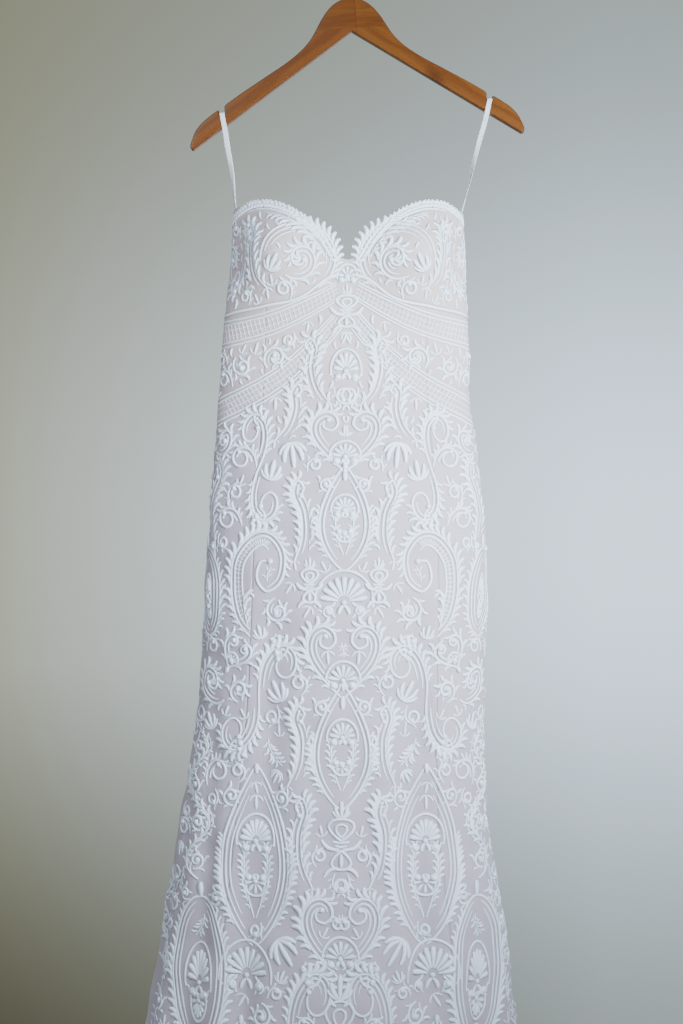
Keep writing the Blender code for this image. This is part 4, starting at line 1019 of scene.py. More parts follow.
def edge_line(plane, from_back, drop):
    """The gown's upper edge in the lace's plane, on the right half."""
    angle = np.linspace(*EDGE_ANGLES[from_back], 60)
    height = edge_height(angle) - drop
    across = np.empty_like(angle)
    reach = np.linspace(0.0, 0.5, 501)
    for place, (one, low) in enumerate(zip(angle, height)):
        found = to_angle(plane, reach, np.full_like(reach, low))
        across[place] = np.interp(one, found, reach) if not from_back else np.interp(-one, -found, reach)
    return evened(np.stack([across, height], axis=1), EDGE_POINTS)


def clear_map(plane, threads, side, from_back):
    """How far each cell of one half of the lace's plane is from any cord, and where the cells are."""
    across = np.arange(CELL / 2, MAP_WIDTH, CELL) * side
    height = np.arange(PLANE_TOP, HEM_HEIGHT, -CELL)
    u, v = np.meshgrid(across, height)
    angle = np.abs(to_angle(plane, u.ravel(), v.ravel()).reshape(u.shape))
    low, high = (90.0, 180.0) if from_back else (0.0, 90.0)
    signed = angle * side
    out = (v > edge_height(signed) - FILL_EDGE_MARGIN) | (v < HEM_HEIGHT + FILL_HEM_MARGIN)
    out |= (angle < low) | (angle > high)
    if from_back:
        out |= (np.abs(u) < FILL_ZIP_MARGIN) & (v > ZIP_END)
        out |= (np.abs(u) < FILL_SLIDER_MARGIN) & (v > SLIDER_LACE_END)
    clear = np.where(out, 0.0, CLEAR_REACH)
    inside = np.roll(out, 1, 0) & np.roll(out, -1, 0) & np.roll(out, 1, 1) & np.roll(out, -1, 1)
    spots = np.argwhere(out & ~inside)
    reach = int(CLEAR_REACH / CELL)
    marks = [(row, place, 0.0) for row, place in spots]
    for line, width, _kind in threads:
        places = np.round((line[:, 0] * side - CELL / 2) / CELL).astype(int)
        rows = np.round((PLANE_TOP - line[:, 1]) / CELL).astype(int)
        for row, place, half in zip(rows, places, width / 2):
            if -reach < place < u.shape[1] + reach and -reach < row < u.shape[0] + reach:
                marks.append((row, place, half))
    window = np.arange(-reach, reach + 1)
    far = np.hypot(*np.meshgrid(window, window)) * CELL
    for row, place, half in marks:
        mark(clear, far, reach, row, place, half)
    return clear, u, v, far, reach


def mark(clear, far, reach, row, place, half):
    """Note a cord or a motif of some half width at a cell."""
    top, bottom = max(row - reach, 0), min(row + reach + 1, clear.shape[0])
    left, right = max(place - reach, 0), min(place + reach + 1, clear.shape[1])
    if top >= bottom or left >= right:
        return
    part = far[top - row + reach:bottom - row + reach, left - place + reach:right - place + reach] - half
    clear[top:bottom, left:right] = np.minimum(clear[top:bottom, left:right], part)


def filling(size, turn, choice):
    """A small motif that fits a clear round of some radius."""
    if size > LARGE_ROUND:
        made = (heart if choice % 3 else scroll)(size * 0.90, size * 0.90)
    elif size > MIDDLE_ROUND and choice % 6 == 2:
        made = sprig(size)
    elif size > MIDDLE_ROUND and choice % 6 == 5:
        made = moved(spray_of(size * 1.8, 5), 0.0, -size * 0.85)
    elif size > MIDDLE_ROUND:
        made = curl(size)
    elif size > SMALL_ROUND:
        made = moved(spray_of(size * 1.9, 3), 0.0, -size * 0.90)
    else:
        single = lobe((0.0, 0.0), 0.0, size * 1.9, 0.14, min(size * 0.80, leaf_width()))
        made = moved([single], 0.0, -size * 0.95)
    made = turned(made, turn)
    return mirrored(made) if choice % 4 > 1 else made


def fill(plane, threads, side, from_back, seed, smallest):
    """Small motifs in the clear rounds between the laid ones, largest first."""
    random = np.random.default_rng(seed)
    clear, u, v, far, reach = clear_map(plane, threads, side, from_back)
    made = []
    for _count in range(FILL_COUNT):
        top = np.unravel_index(np.argmax(clear), clear.shape)
        size = float(clear[top])
        limit = smallest * (1.0 + FILL_OPEN_SHARE * float(ease((FILL_OPENS - v[top]) / FILL_OPEN_REACH)))
        if size < smallest:
            break
        turn = float(random.uniform(-35.0, 35.0)) + (180.0 if random.uniform() < 0.35 else 0.0)
        choice = int(random.integers(0, 12))
        taken = min(size, LARGEST_FILL)
        if size >= limit:
            made += moved(filling(taken - FILL_GAP, turn, choice), u[top], v[top])
        mark(clear, far, reach, top[0], top[1], taken * FILL_SHARE)
    return made


def lace_threads(from_back):
    """All threads of the front or the back."""
    plane = lace_plane(from_back)
    threads = layout(BACK_LACE if from_back else FRONT_LACE)
    bands = []
    for first, start_height, last, end_height, sag, width, bars in BANDS:
        bands += trellis((first, start_height), (last, end_height), sag, width, bars)
    threads += both_sides(bands)
    upper = edge_line(plane, from_back, EDGE_INSET)
    rim = edge_line(plane, from_back, 0.0)
    edge = [thread(upper, cord_width())] + edging(rim, EDGE_SIDE[from_back])
    for number in (1, 2):
        offset = -cord_width(NEST) * number * EDGE_SIDE[from_back]
        inner = beside(upper, offset, 0.04 * number, 0.92 - 0.16 * number)
        edge.append(thread(inner, cord_width() * taper(len(inner), 0.6, 0.4)))
    edge += acanthus(inner, -EDGE_SIDE[from_back], 0.0125, 0.0082, 0.05, 0.95)
    if not from_back:
        angle = np.linspace(3.0, 88.0, 50)
        reach = np.linspace(0, 0.3, 301)
        level = to_angle(plane, reach, np.full_like(reach, CUP_SEAM_LEVEL))
        seam = np.stack([np.interp(angle, level, reach), cup_seam_height(angle)], axis=1)
        edge.append(thread(seam, cord_width()))
    threads += both_sides(edge)
    threads = trimmed(plane, threads, from_back)
    right = fill(plane, threads, 1.0, from_back, FILL_SEED + from_back, SMALLEST_FILL)
    threads += both_sides(right)
    threads += fill(plane, threads, -1.0, from_back, FILL_SEED_LEFT + from_back, SMALLEST_FILL_LEFT)
    return plane, [thinned(one) for one in trimmed(plane, threads, from_back)]


def trimmed(plane, threads, from_back):
    """Threads cut off at the side seams, the hem and the zip."""
    kept = []
    for line, width, kind in threads:
        angle = np.abs(to_angle(plane, line[:, 0], line[:, 1]))
        stays = (angle > 90.0 + SIDE_MARGIN) if from_back else (angle < 90.0 - SIDE_MARGIN)
        stays &= (line[:, 1] > HEM_HEIGHT + END_MARGIN) & (line[:, 1] < PLANE_TOP - END_MARGIN)
        if from_back:
            stays &= ~((np.abs(line[:, 0]) < ZIP_MARGIN) & (line[:, 1] > ZIP_END))
            stays &= ~((np.abs(line[:, 0]) < SLIDER_MARGIN) & (line[:, 1] > SLIDER_LACE_END))
        if stays.all():
            kept.append((line, width, kind))
            continue
        before = np.concatenate([[False], stays[:-1]])
        for start in np.nonzero(stays & ~before)[0]:
            rest = np.nonzero(~stays[start:])[0]
            end = start + (rest[0] if len(rest) else len(line) - start)
            if end - start > 1:
                kept.append((line[start:end], width[start:end], kind))
    return kept


# Node groups
def new_tree(name, inputs):
    tree = bpy.data.node_groups.new(name, "GeometryNodeTree")
    tree.interface.new_socket("Geometry", in_out="INPUT", socket_type="NodeSocketGeometry")
    for label, kind in inputs:
        tree.interface.new_socket(label, in_out="INPUT", socket_type=kind)
    tree.interface.new_socket("Geometry", in_out="OUTPUT", socket_type="NodeSocketGeometry")
    return tree


def feed(tree, node, inputs):
    """Link or set a node's inputs."""
    for socket, source in inputs.items():
        if isinstance(source, bpy.types.NodeSocket):
            tree.links.new(source, node.inputs[socket])
        else:
            node.inputs[socket].default_value = source


def add_node(tree, kind, inputs=None, **settings):
    node = tree.nodes.new(kind)
    for name, value in settings.items():
        setattr(node, name, value)
    feed(tree, node, inputs or {})
    return node


def named_field(tree, name, kind):
    node = add_node(tree, "GeometryNodeInputNamedAttribute", {"Name": name}, data_type=kind)
    return node.outputs["Attribute"]


def stored(tree, geometry, name, value):
    """Geometry that carries a number at each of its points under a name."""
    node = add_node(tree, "GeometryNodeStoreNamedAttribute", {
        "Geometry": geometry, "Name": name, "Value": value}, data_type="FLOAT", domain="POINT")
    return node.outputs["Geometry"]


def close_tree(tree, geometry, material):
    """End a tree with Realize Instances and Set Material."""
    real = add_node(tree, "GeometryNodeRealizeInstances", {"Geometry": geometry})
    smooth = add_node(tree, "GeometryNodeSetShadeSmooth", {"Geometry": real.outputs["Geometry"]})
    paint = add_node(tree, "GeometryNodeSetMaterial", {
        "Geometry": smooth.outputs["Geometry"], "Material": material})
    add_node(tree, "NodeGroupOutput", {"Geometry": paint.outputs["Geometry"]})


def cord_tree():
    """Domed cords along edges that carry a half width and the cloth's outward direction."""
    tree = new_tree("lace_cords", (("Relief", "NodeSocketFloat"), ("Sides", "NodeSocketInt"),
                                   ("Material", "NodeSocketMaterial")))
    given = add_node(tree, "NodeGroupInput")
    curve = add_node(tree, "GeometryNodeMeshToCurve", {"Mesh": given.outputs["Geometry"]})
    sized = add_node(tree, "GeometryNodeSetCurveRadius", {
        "Curve": curve.outputs["Curve"], "Radius": named_field(tree, "half_width", "FLOAT")})
    facing = add_node(tree, "GeometryNodeSetCurveNormal", {
        "Curve": sized.outputs["Curve"], "Normal": named_field(tree, "outward", "FLOAT_VECTOR")}, mode="FREE")
    along = add_node(tree, "GeometryNodeSplineParameter")
    marked = stored(tree, facing.outputs["Curve"], "along", along.outputs["Length"])
    ring = add_node(tree, "GeometryNodeCurvePrimitiveCircle", {
        "Resolution": given.outputs["Sides"], "Radius": 1.0}, mode="RADIUS")
    squash = add_node(tree, "ShaderNodeCombineXYZ", {"X": given.outputs["Relief"], "Y": 1.0, "Z": 1.0})
    flat = add_node(tree, "GeometryNodeTransform", {
        "Geometry": ring.outputs["Curve"], "Scale": squash.outputs["Vector"]})
    round_part = add_node(tree, "GeometryNodeSplineParameter")
    profile = stored(tree, flat.outputs["Geometry"], "around", round_part.outputs["Factor"])
    body = add_node(tree, "GeometryNodeCurveToMesh", {
        "Curve": marked, "Profile Curve": profile,
        "Scale": named_field(tree, "half_width", "FLOAT"), "Fill Caps": True})
    close_tree(tree, body.outputs["Mesh"], given.outputs["Material"])
    return tree


def seed_tree():
    """Small domes on points that carry a size and the cloth's outward direction."""
    tree = new_tree("lace_seeds", (("Relief", "NodeSocketFloat"), ("Material", "NodeSocketMaterial")))
    given = add_node(tree, "NodeGroupInput")
    ball = add_node(tree, "GeometryNodeMeshIcoSphere", {"Radius": 1.0, "Subdivisions": 1})
    squash = add_node(tree, "ShaderNodeCombineXYZ", {"X": 1.0, "Y": 1.0, "Z": given.outputs["Relief"]})
    dome = add_node(tree, "GeometryNodeTransform", {
        "Geometry": ball.outputs["Mesh"], "Scale": squash.outputs["Vector"]})
    facing = add_node(tree, "FunctionNodeAlignRotationToVector", {
        "Vector": named_field(tree, "outward", "FLOAT_VECTOR")}, axis="Z")
    placed = add_node(tree, "GeometryNodeInstanceOnPoints", {
        "Points": given.outputs["Geometry"], "Instance": dome.outputs["Geometry"],
        "Rotation": facing.outputs["Rotation"], "Scale": named_field(tree, "half_width", "FLOAT")})
    close_tree(tree, placed.outputs["Instances"], given.outputs["Material"])
    return tree


def grow(name, mesh, tree, values):
    """Run a node group on a mesh and keep the result as a plain mesh object."""
    guide = link_object(name + "_guide", mesh)
    modifier = guide.modifiers.new("grow", "NODES")
    modifier.node_group = tree
    for item in tree.interface.items_tree:
        if item.in_out == "INPUT" and item.name in values:
            modifier[item.identifier] = values[item.name]
    grown = plain_mesh(guide)
    grown.name = name
    return link_object(name, grown)


def guide_mesh(name, points, outward, half_width, lengths):
    """Polylines or loose points with their attributes, lengths of them in order."""
    edges = []
    start = 0
    for length in lengths:
        edges += [(start + step, start + step + 1) for step in range(length - 1)]
        start += length
    mesh = bpy.data.meshes.new(name)
    mesh.from_pydata(points.tolist(), edges, [])
    facing = mesh.attributes.new("outward", "FLOAT_VECTOR", "POINT")
    facing.data.foreach_set("vector", outward.ravel())
    size = mesh.attributes.new("half_width", "FLOAT", "POINT")
    size.data.foreach_set("value", half_width)
    return mesh


def on_cloth(plane, threads, lift):
    """Places, outward directions, half widths and lengths of threads laid on the cloth."""
    line = np.concatenate([line for line, _width, _kind in threads])
    width = np.concatenate([width for _line, width, _kind in threads])
    angle = to_angle(plane, line[:, 0], line[:, 1])
    outward = gown_normals(angle, line[:, 1])
    place = gown_points(angle, line[:, 1]) + outward * (lift * width)[:, None]
    return place, outward, width / 2, [len(line) for line, _width, _kind in threads]


# Materials
def new_material(name):
    made = bpy.data.materials.new(name)
    made.use_nodes = True
    tree = made.node_tree
    return made, tree, tree.nodes["Principled BSDF"]


def mix_colours(tree, share, first, second):
    return add_node(tree, "ShaderNodeMix", {0: share, 6: first, 7: second}, data_type="RGBA").outputs[2]


def maths(tree, operation, *values):
    return add_node(tree, "ShaderNodeMath", dict(enumerate(values)), operation=operation).outputs[0]


def times(tree, value, share):
    return maths(tree, "MULTIPLY", value, share)


def stain(tree, base, where, share, colour):
    """Mix a colour over a base, as strongly as a share of a mask."""
    return mix_colours(tree, times(tree, where, share), base, colour)


def between(tree, value, low, high):
    """A share that rises from 0 to 1 between two values."""
    node = add_node(tree, "ShaderNodeMapRange", {"Value": value, "From Min": low, "From Max": high})
    return node.outputs["Result"]


def noise(tree, vector, scale, detail=2.0, roughness=0.5):
    return add_node(tree, "ShaderNodeTexNoise", {
        "Vector": vector, "Scale": scale, "Detail": detail, "Roughness": roughness}).outputs["Fac"]


def mapped(tree, vector, scale):
    return add_node(tree, "ShaderNodeMapping", {"Vector": vector, "Scale": scale}).outputs["Vector"]


def ranged(tree, value, low, high):
    """A value from 0 to 1 spread between two others."""
    node = add_node(tree, "ShaderNodeMapRange", {"Value": value, "To Min": low, "To Max": high})
    return node.outputs["Result"]


def attribute(tree, name, output="Fac"):
    return add_node(tree, "ShaderNodeAttribute", attribute_name=name).outputs[output]


def cloth_place(tree):
    return add_node(tree, "ShaderNodeUVMap", uv_map="cloth").outputs["UV"]


def stitches(tree, vector, scale, distortion, direction):
    return add_node(tree, "ShaderNodeTexWave", {
        "Vector": vector, "Scale": scale, "Distortion": distortion}, bands_direction=direction).outputs["Fac"]


def object_place(tree):
    return add_node(tree, "ShaderNodeTexCoord").outputs["Object"]


def bump(tree, shader, height, strength, distance):
    node = add_node(tree, "ShaderNodeBump", {"Height": height, "Strength": strength, "Distance": distance})
    tree.links.new(node.outputs["Normal"], shader.inputs["Normal"])


def scaled(colour, share):
    return tuple(min(1.0, part * share) for part in colour) + (1.0,)


def lining_material(colours):
    """Satin under a fine net, warmer behind the bodice."""
    made, tree, shader = new_material("satin_under_net")
    place = object_place(tree)
    cloth = cloth_place(tree)
    height = add_node(tree, "ShaderNodeSeparateXYZ", {"Vector": place}).outputs["Z"]
    edge = maths(tree, "ADD", height, times(tree, noise(tree, place, 3.2), 0.12))
    upper = between(tree, edge, -0.60, -0.44)
    base = mix_colours(tree, upper, scaled(colours.lining, 1.0), scaled(colours.bodice, 1.0))
    cloudy = mix_colours(tree, between(tree, noise(tree, place, 9.0, 3.0), 0.35, 0.75), base,
                         mix_colours(tree, 0.5, base, scaled(colours.lining, 1.12)))
    net = add_node(tree, "ShaderNodeTexVoronoi", {
        "Vector": mapped(tree, cloth, (1.0, 1.15, 1.0)), "Scale": 520.0, "Randomness": 0.12},
        feature="DISTANCE_TO_EDGE").outputs["Distance"]
    line = between(tree, net, 0.10, 0.02)
    feed(tree, shader, {
        "Base Color": stain(tree, cloudy, line, 0.30, scaled(colours.lace, 0.92)),
        "Roughness": ranged(tree, noise(tree, cloth, 60.0), 0.50, 0.66),
        "Sheen Weight": 0.25, "Sheen Roughness": 0.45, "Specular IOR Level": 0.35})
    weave = maths(tree, "ADD", line, times(tree, noise(tree, cloth, 900.0, 1.0), 0.5))
    bump(tree, shader, weave, 0.35, 0.0003)
    return made


def cord_material(colours):
    """Satin-stitched cords: bluish white, with the stitches across and painted shade in the grooves between
    them.
    """
    made, tree, shader = new_material("stitched_cord")
    place = object_place(tree)
    coords = add_node(tree, "ShaderNodeCombineXYZ", {
        "X": attribute(tree, "along"), "Y": times(tree, attribute(tree, "around"), 0.0006)}).outputs["Vector"]
    stitch = stitches(tree, coords, 260.0, 0.6, "X")
    drift = noise(tree, place, 22.0, 3.0)
    shade = mix_colours(tree, drift, scaled(colours.lace, 0.90), scaled(colours.lace, 1.05))
    # Painted shade: the thread colour is darkened in the grooves between the stitches
    stitch_groove_shade = maths(tree, "SUBTRACT", 1.0, stitch)
    feed(tree, shader, {
        "Base Color": stain(tree, shade, stitch_groove_shade, 0.16, scaled(colours.lace, 0.62)),
        "Roughness": 0.48, "Sheen Weight": 0.20, "Sheen Roughness": 0.35})
    grit = times(tree, noise(tree, place, 1500.0, 1.0), 0.4)
    bump(tree, shader, maths(tree, "ADD", stitch, grit), 0.45, 0.0002)
    return made


KNOT_PLACE = (0.128, 0.0085, 0.0)


def wood_material(colours):
    """Varnished orange-brown wood: the grain follows each arm, with a knot and a joint in the middle."""
    made, tree, shader = new_material("varnished_wood")
    grain = attribute(tree, "grain", "Vector")
    parts = add_node(tree, "ShaderNodeSeparateXYZ", {"Vector": grain})
    along, across = parts.outputs["X"], parts.outputs["Y"]
    left = between(tree, along, 0.0075, 0.0070)
    shifted = add_node(tree, "ShaderNodeCombineXYZ", {
        "X": maths(tree, "ADD", along, times(tree, left, 1.7)), "Y": across,
        "Z": parts.outputs["Z"]}).outputs["Vector"]
    warp = noise(tree, mapped(tree, shifted, (9.0, 60.0, 40.0)), 1.0, 3.0)
    bent = maths(tree, "ADD", times(tree, across, 165.0), times(tree, warp, 5.5))
    ring = maths(tree, "ABSOLUTE", maths(tree, "SINE", bent))
    streak = noise(tree, mapped(tree, shifted, (14.0, 620.0, 300.0)), 1.0, 4.0, 0.6)
    pores = noise(tree, mapped(tree, shifted, (60.0, 1800.0, 900.0)), 1.0, 2.0, 0.6)
    away = add_node(tree, "ShaderNodeVectorMath", {
        0: mapped(tree, grain, (1.0, 2.1, 0.6)), 1: KNOT_PLACE}, operation="DISTANCE").outputs["Value"]
    knot = between(tree, maths(tree, "ADD", away, times(tree, warp, 0.016)), 0.030, 0.008)
    joint = between(tree, maths(tree, "ABSOLUTE", maths(tree, "SUBTRACT", along, 0.0072)), 0.0006, 0.0003)
    base = scaled(colours.wood, 1.0)
    for where, strength, shade in (
            (maths(tree, "POWER", ring, 2.4), 0.50, 1.0), (between(tree, streak, 0.42, 0.72), 0.55, 1.05),
            (between(tree, pores, 0.58, 0.75), 0.45, 0.55), (left, 0.28, 1.25), (knot, 0.85, 0.50),
            (joint, 0.6, 0.5)):
        base = stain(tree, base, where, strength, scaled(colours.grain, shade))
    feed(tree, shader, {
        "Base Color": base, "Roughness": ranged(tree, noise(tree, object_place(tree), 45.0, 3.0), 0.28, 0.46),
        "Coat Weight": 0.16, "Coat Roughness": 0.25, "Specular IOR Level": 0.35})
    bump(tree, shader, maths(tree, "ADD", pores, times(tree, joint, -2.0)), 0.16, 0.0004)
    return made


def ribbon_material(colours):
    """Narrow satin ribbon with a woven edge, and painted shade and sheen along its creases."""
    made, tree, shader = new_material("satin_ribbon")
    cloth = cloth_place(tree)
    weave = stitches(tree, cloth, 480.0, 0.4, "Y")
    crease_relief_and_shade = noise(tree, mapped(tree, cloth, (150.0, 28.0, 1.0)), 1.0)
    # Painted shade and sheen: the colour goes darker and lighter with the creases, which also give the bump
    tone = mix_colours(tree, between(tree, crease_relief_and_shade, 0.30, 0.72), scaled(colours.ribbon, 0.78),
                       scaled(colours.ribbon, 1.06))
    feed(tree, shader, {
        "Base Color": stain(tree, tone, weave, 0.10, scaled(colours.ribbon, 0.7)),
        "Roughness": 0.34, "Sheen Weight": 0.15, "Sheen Roughness": 0.35})
    bump(tree, shader, maths(tree, "ADD", weave, crease_relief_and_shade), 0.30, 0.0002)
    return made


def steel_material(colours):
    """Bright plated steel with faint handling marks."""
    made, tree, shader = new_material("plated_steel")
    marks = noise(tree, object_place(tree), 240.0, 3.0)
    feed(tree, shader, {
        "Base Color": mix_colours(tree, marks, scaled(colours.steel, 0.85), scaled(colours.steel, 1.1)),
        "Roughness": ranged(tree, marks, 0.14, 0.34), "Metallic": 1.0})
    bump(tree, shader, marks, 0.08, 0.0002)
    return made


MAKERS = {
    "satin_under_net": lining_material,
    "stitched_cord": cord_material,
    "varnished_wood": wood_material,
    "satin_ribbon": ribbon_material,
    "plated_steel": steel_material,
}


def finish_of(name):
    found = bpy.data.materials.get(name)
    return found if found else MAKERS[name](bpy.context.scene.gown_colours)


class GOWN_OT_cloth(bpy.types.Operator):
    """Lay the gown's cut cloth pieces, seamed edge to edge"""

    bl_idname = "gown.cloth"
    bl_label = "Cloth panels"

    def execute(self, context):
        sizes = context.scene.gown_sizes
        material = finish_of("satin_under_net")
        for name, first, last, columns, rows, upper, lower in PANELS:
            angle = np.tile(seam_places(first, last, columns), (rows + 1, 1))
            top = LINES[upper](angle)
            bottom = LINES[lower](angle)
            height = top + (bottom - top) * np.linspace(0.0, 1.0, rows + 1)[:, None]
            points = gown_points(angle, height)
            step, along = steps_round(points)
            to_seam = np.minimum(along, along[:, -1:] - along)
            if lower == "cup_seam":
                to_seam = np.minimum(to_seam, height - bottom)
            if upper == "cup_seam":
                to_seam = np.minimum(to_seam, top - height)
            tuck = SEAM_TUCK * np.clip(1 - to_seam / SEAM_REACH, 0.0, 1.0) ** 2
            points = points - gown_normals(angle, height) * tuck[..., None]
            coords = np.stack([along - along[:, -1:] / 2 + first / 360.0, height], axis=-1)
            panel = grid_mesh(name + "_cloth", points, material, coords)
            wall = panel.modifiers.new("wall", "SOLIDIFY")
            wall.thickness = sizes.wall
            wall.offset = -1.0
            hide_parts(name)
            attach(panel, BODY)
        return {"FINISHED"}


class GOWN_OT_lace(bpy.types.Operator):
    """Lay the corded lace and its seed stitches on the cloth"""

    bl_idname = "gown.lace"
    bl_label = "Corded lace"

    def execute(self, context):
        sizes = context.scene.gown_sizes
        material = finish_of("stitched_cord")
        cords = cord_tree()
        seeds = seed_tree()
        for from_back in (False, True):
            plane, threads = lace_threads(from_back)
            for node, picked in self.shares(threads, from_back):
                lines = [one for one in picked if one[2] == "cord"]
                spots = [one for one in picked if one[2] == "bead"]
                guide = guide_mesh(node + "_lines", *on_cloth(plane, lines, CORD_LIFT))
                values = {"Relief": sizes.relief, "Sides": CORD_SIDES, "Material": material}
                self.settle(grow(node + "_cords", guide, cords, values), node)
                if spots:
                    guide = guide_mesh(node + "_spots", *on_cloth(plane, spots, SEED_LIFT))
                    values = {"Relief": SEED_RELIEF, "Material": material}
                    self.settle(grow(node + "_seeds", guide, seeds, values), None)
        return {"FINISHED"}

    def shares(self, threads, from_back):
        """The threads of each lace piece, by where their middles are."""
        middle = np.array([line.mean(axis=0) for line, _width, _kind in threads])
        if from_back:
            upper = middle[:, 1] > ZIP_END
            lower = middle[:, 1] < BACK_HEM_START
            left = middle[:, 0] < 0
            parts = (("lace_back_left", upper & left), ("lace_back_right", upper & ~left),
                     ("lace_back_skirt", ~upper & ~lower), ("lace_back_hem", lower))
        else:
            upper = middle[:, 1] > BODICE_END
            lower = middle[:, 1] < MIDDLE_END
            hem = middle[:, 1] < FRONT_HEM_START
            parts = (("lace_front_bodice", upper), ("lace_front_middle", ~upper & ~lower),
                     ("lace_front_skirt", lower & ~hem), ("lace_front_hem", hem))
        return [(node, [threads[number] for number in np.nonzero(chosen)[0]]) for node, chosen in parts]

    def settle(self, piece, node):
        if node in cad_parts:
            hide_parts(node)
        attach(piece, BODY)


# Outline of one half of the hanger, out from the middle and down from the top
ARM_TOP = (
    (0.0000, 0.0000), (0.0110, 0.0008), (0.0212, 0.0056), (0.0310, 0.0142), (0.0385, 0.0240),
    (0.0452, 0.0352), (0.0520, 0.0466), (0.0610, 0.0580), (0.0740, 0.0698), (0.0900, 0.0812),
    (0.1150, 0.0962), (0.1500, 0.1172),
)
ARM_TIP = (
    (0.1912, 0.1438), (0.2037, 0.1532), (0.2129, 0.1634), (0.2182, 0.1742), (0.2214, 0.1845),
    (0.2180, 0.1893),
)
ARM_END = ((0.2207, 0.1876), (0.2180, 0.1888), (0.2144, 0.1866))
INNER_APEX_DROP = 0.0426
HANGER_TILT = math.radians(3.0)
WOOD_THICKNESS = 0.0130
WOOD_ROUNDING = 0.0021
NOTCH_OUT = 0.1773
NOTCH_WIDTH = 0.0072
NOTCH_FLOOR_DROP = 0.1430
NOTCH_ROUNDING = 0.0030
HOOK_INNER_RADIUS = 0.0180
HOOK_WIRE_RADIUS = 0.0018
HOOK_STEM_RISE = 0.0040
HOOK_NECK_RISE = 0.0110
HOOK_NECK_SWAY = 0.0060
HOOK_FOOT_DEPTH = 0.0140
HOOK_TURN = (-78.0, 188.0)
HOOK_POINTS = 44
HOOK_NECK_POINTS = 7
TOP_POINTS = 44
TIP_POINTS = 22
BEVEL_STEPS = 4
WELD = 0.00002
SHARP_TURN = math.radians(38.0)


def hanger_matrix():
    return Matrix.Rotation(-HANGER_TILT, 4, "Y")


def arm_underside(out):
    return INNER_APEX_DROP + (ARM_TIP[-1][1] - INNER_APEX_DROP) / ARM_TIP[-1][0] * out


def smooth_run(points, count):
    """A smooth run through table points, evenly stepped."""
    points = np.array(points)
    length = run_along(points)
    place = np.linspace(0.0, length[-1], count)
    return list(zip(smooth_through(length, points[:, 0], place), smooth_through(length, points[:, 1], place)))


def hanger_outline():
    """The hanger's flat outline with smooth shoulders and rounded notches."""
    notch_in = NOTCH_OUT - NOTCH_WIDTH / 2
    notch_out = NOTCH_OUT + NOTCH_WIDTH / 2
    slope = (ARM_TIP[0][1] - ARM_TOP[-1][1]) / (ARM_TIP[0][0] - ARM_TOP[-1][0])
    top_in = ARM_TOP[-1][1] + slope * (notch_in - ARM_TOP[-1][0])
    top_out = ARM_TOP[-1][1] + slope * (notch_out - ARM_TOP[-1][0])
    soft = NOTCH_ROUNDING
    half = smooth_run(ARM_TOP, TOP_POINTS)
    half += [
        (notch_in - soft, top_in - soft * slope), (notch_in - soft * 0.36, top_in + soft * 0.02),
        (notch_in - soft * 0.05, top_in + soft * 0.45), (notch_in, top_in + soft * 1.2),
        (notch_in, NOTCH_FLOOR_DROP), (notch_out, NOTCH_FLOOR_DROP), (notch_out, top_out + soft * 1.2),
        (notch_out + soft * 0.05, top_out + soft * 0.55),
        (notch_out + soft * 0.36, top_out + soft * 0.38), (notch_out + soft, top_out + soft * slope)]
    half += smooth_run(ARM_TIP[:-1] + ARM_END, TIP_POINTS)
    half.append((0.0, INNER_APEX_DROP))
    left = [(-out, drop) for out, drop in half[1:-1]]
    return half + left[::-1]


def drawn_curve(name, places, **settings):
    """A curve through some places, with its settings."""
    curve = bpy.data.curves.new(name, "CURVE")
    for setting, value in settings.items():
        setattr(curve, setting, value)
    spline = curve.splines.new("POLY")
    spline.points.add(len(places) - 1)
    for point, place in zip(spline.points, places):
        point.co = (*place, 1.0)
    return curve, spline


def curve_mesh(name, curve, matrix, material):
    """A closed smooth mesh from a curve, its caps welded on, turned into place."""
    bm = bmesh.new()
    bm.from_mesh(plain_mesh(link_object(name + "_guide", curve)))
    bmesh.ops.remove_doubles(bm, verts=bm.verts[:], dist=WELD)
    bmesh.ops.recalc_face_normals(bm, faces=bm.faces[:])
    bm.transform(matrix)
    made = link_mesh(name, bm, material)
    made.data.shade_smooth()
    made.data.set_sharp_from_angle(angle=SHARP_TURN)
    return made


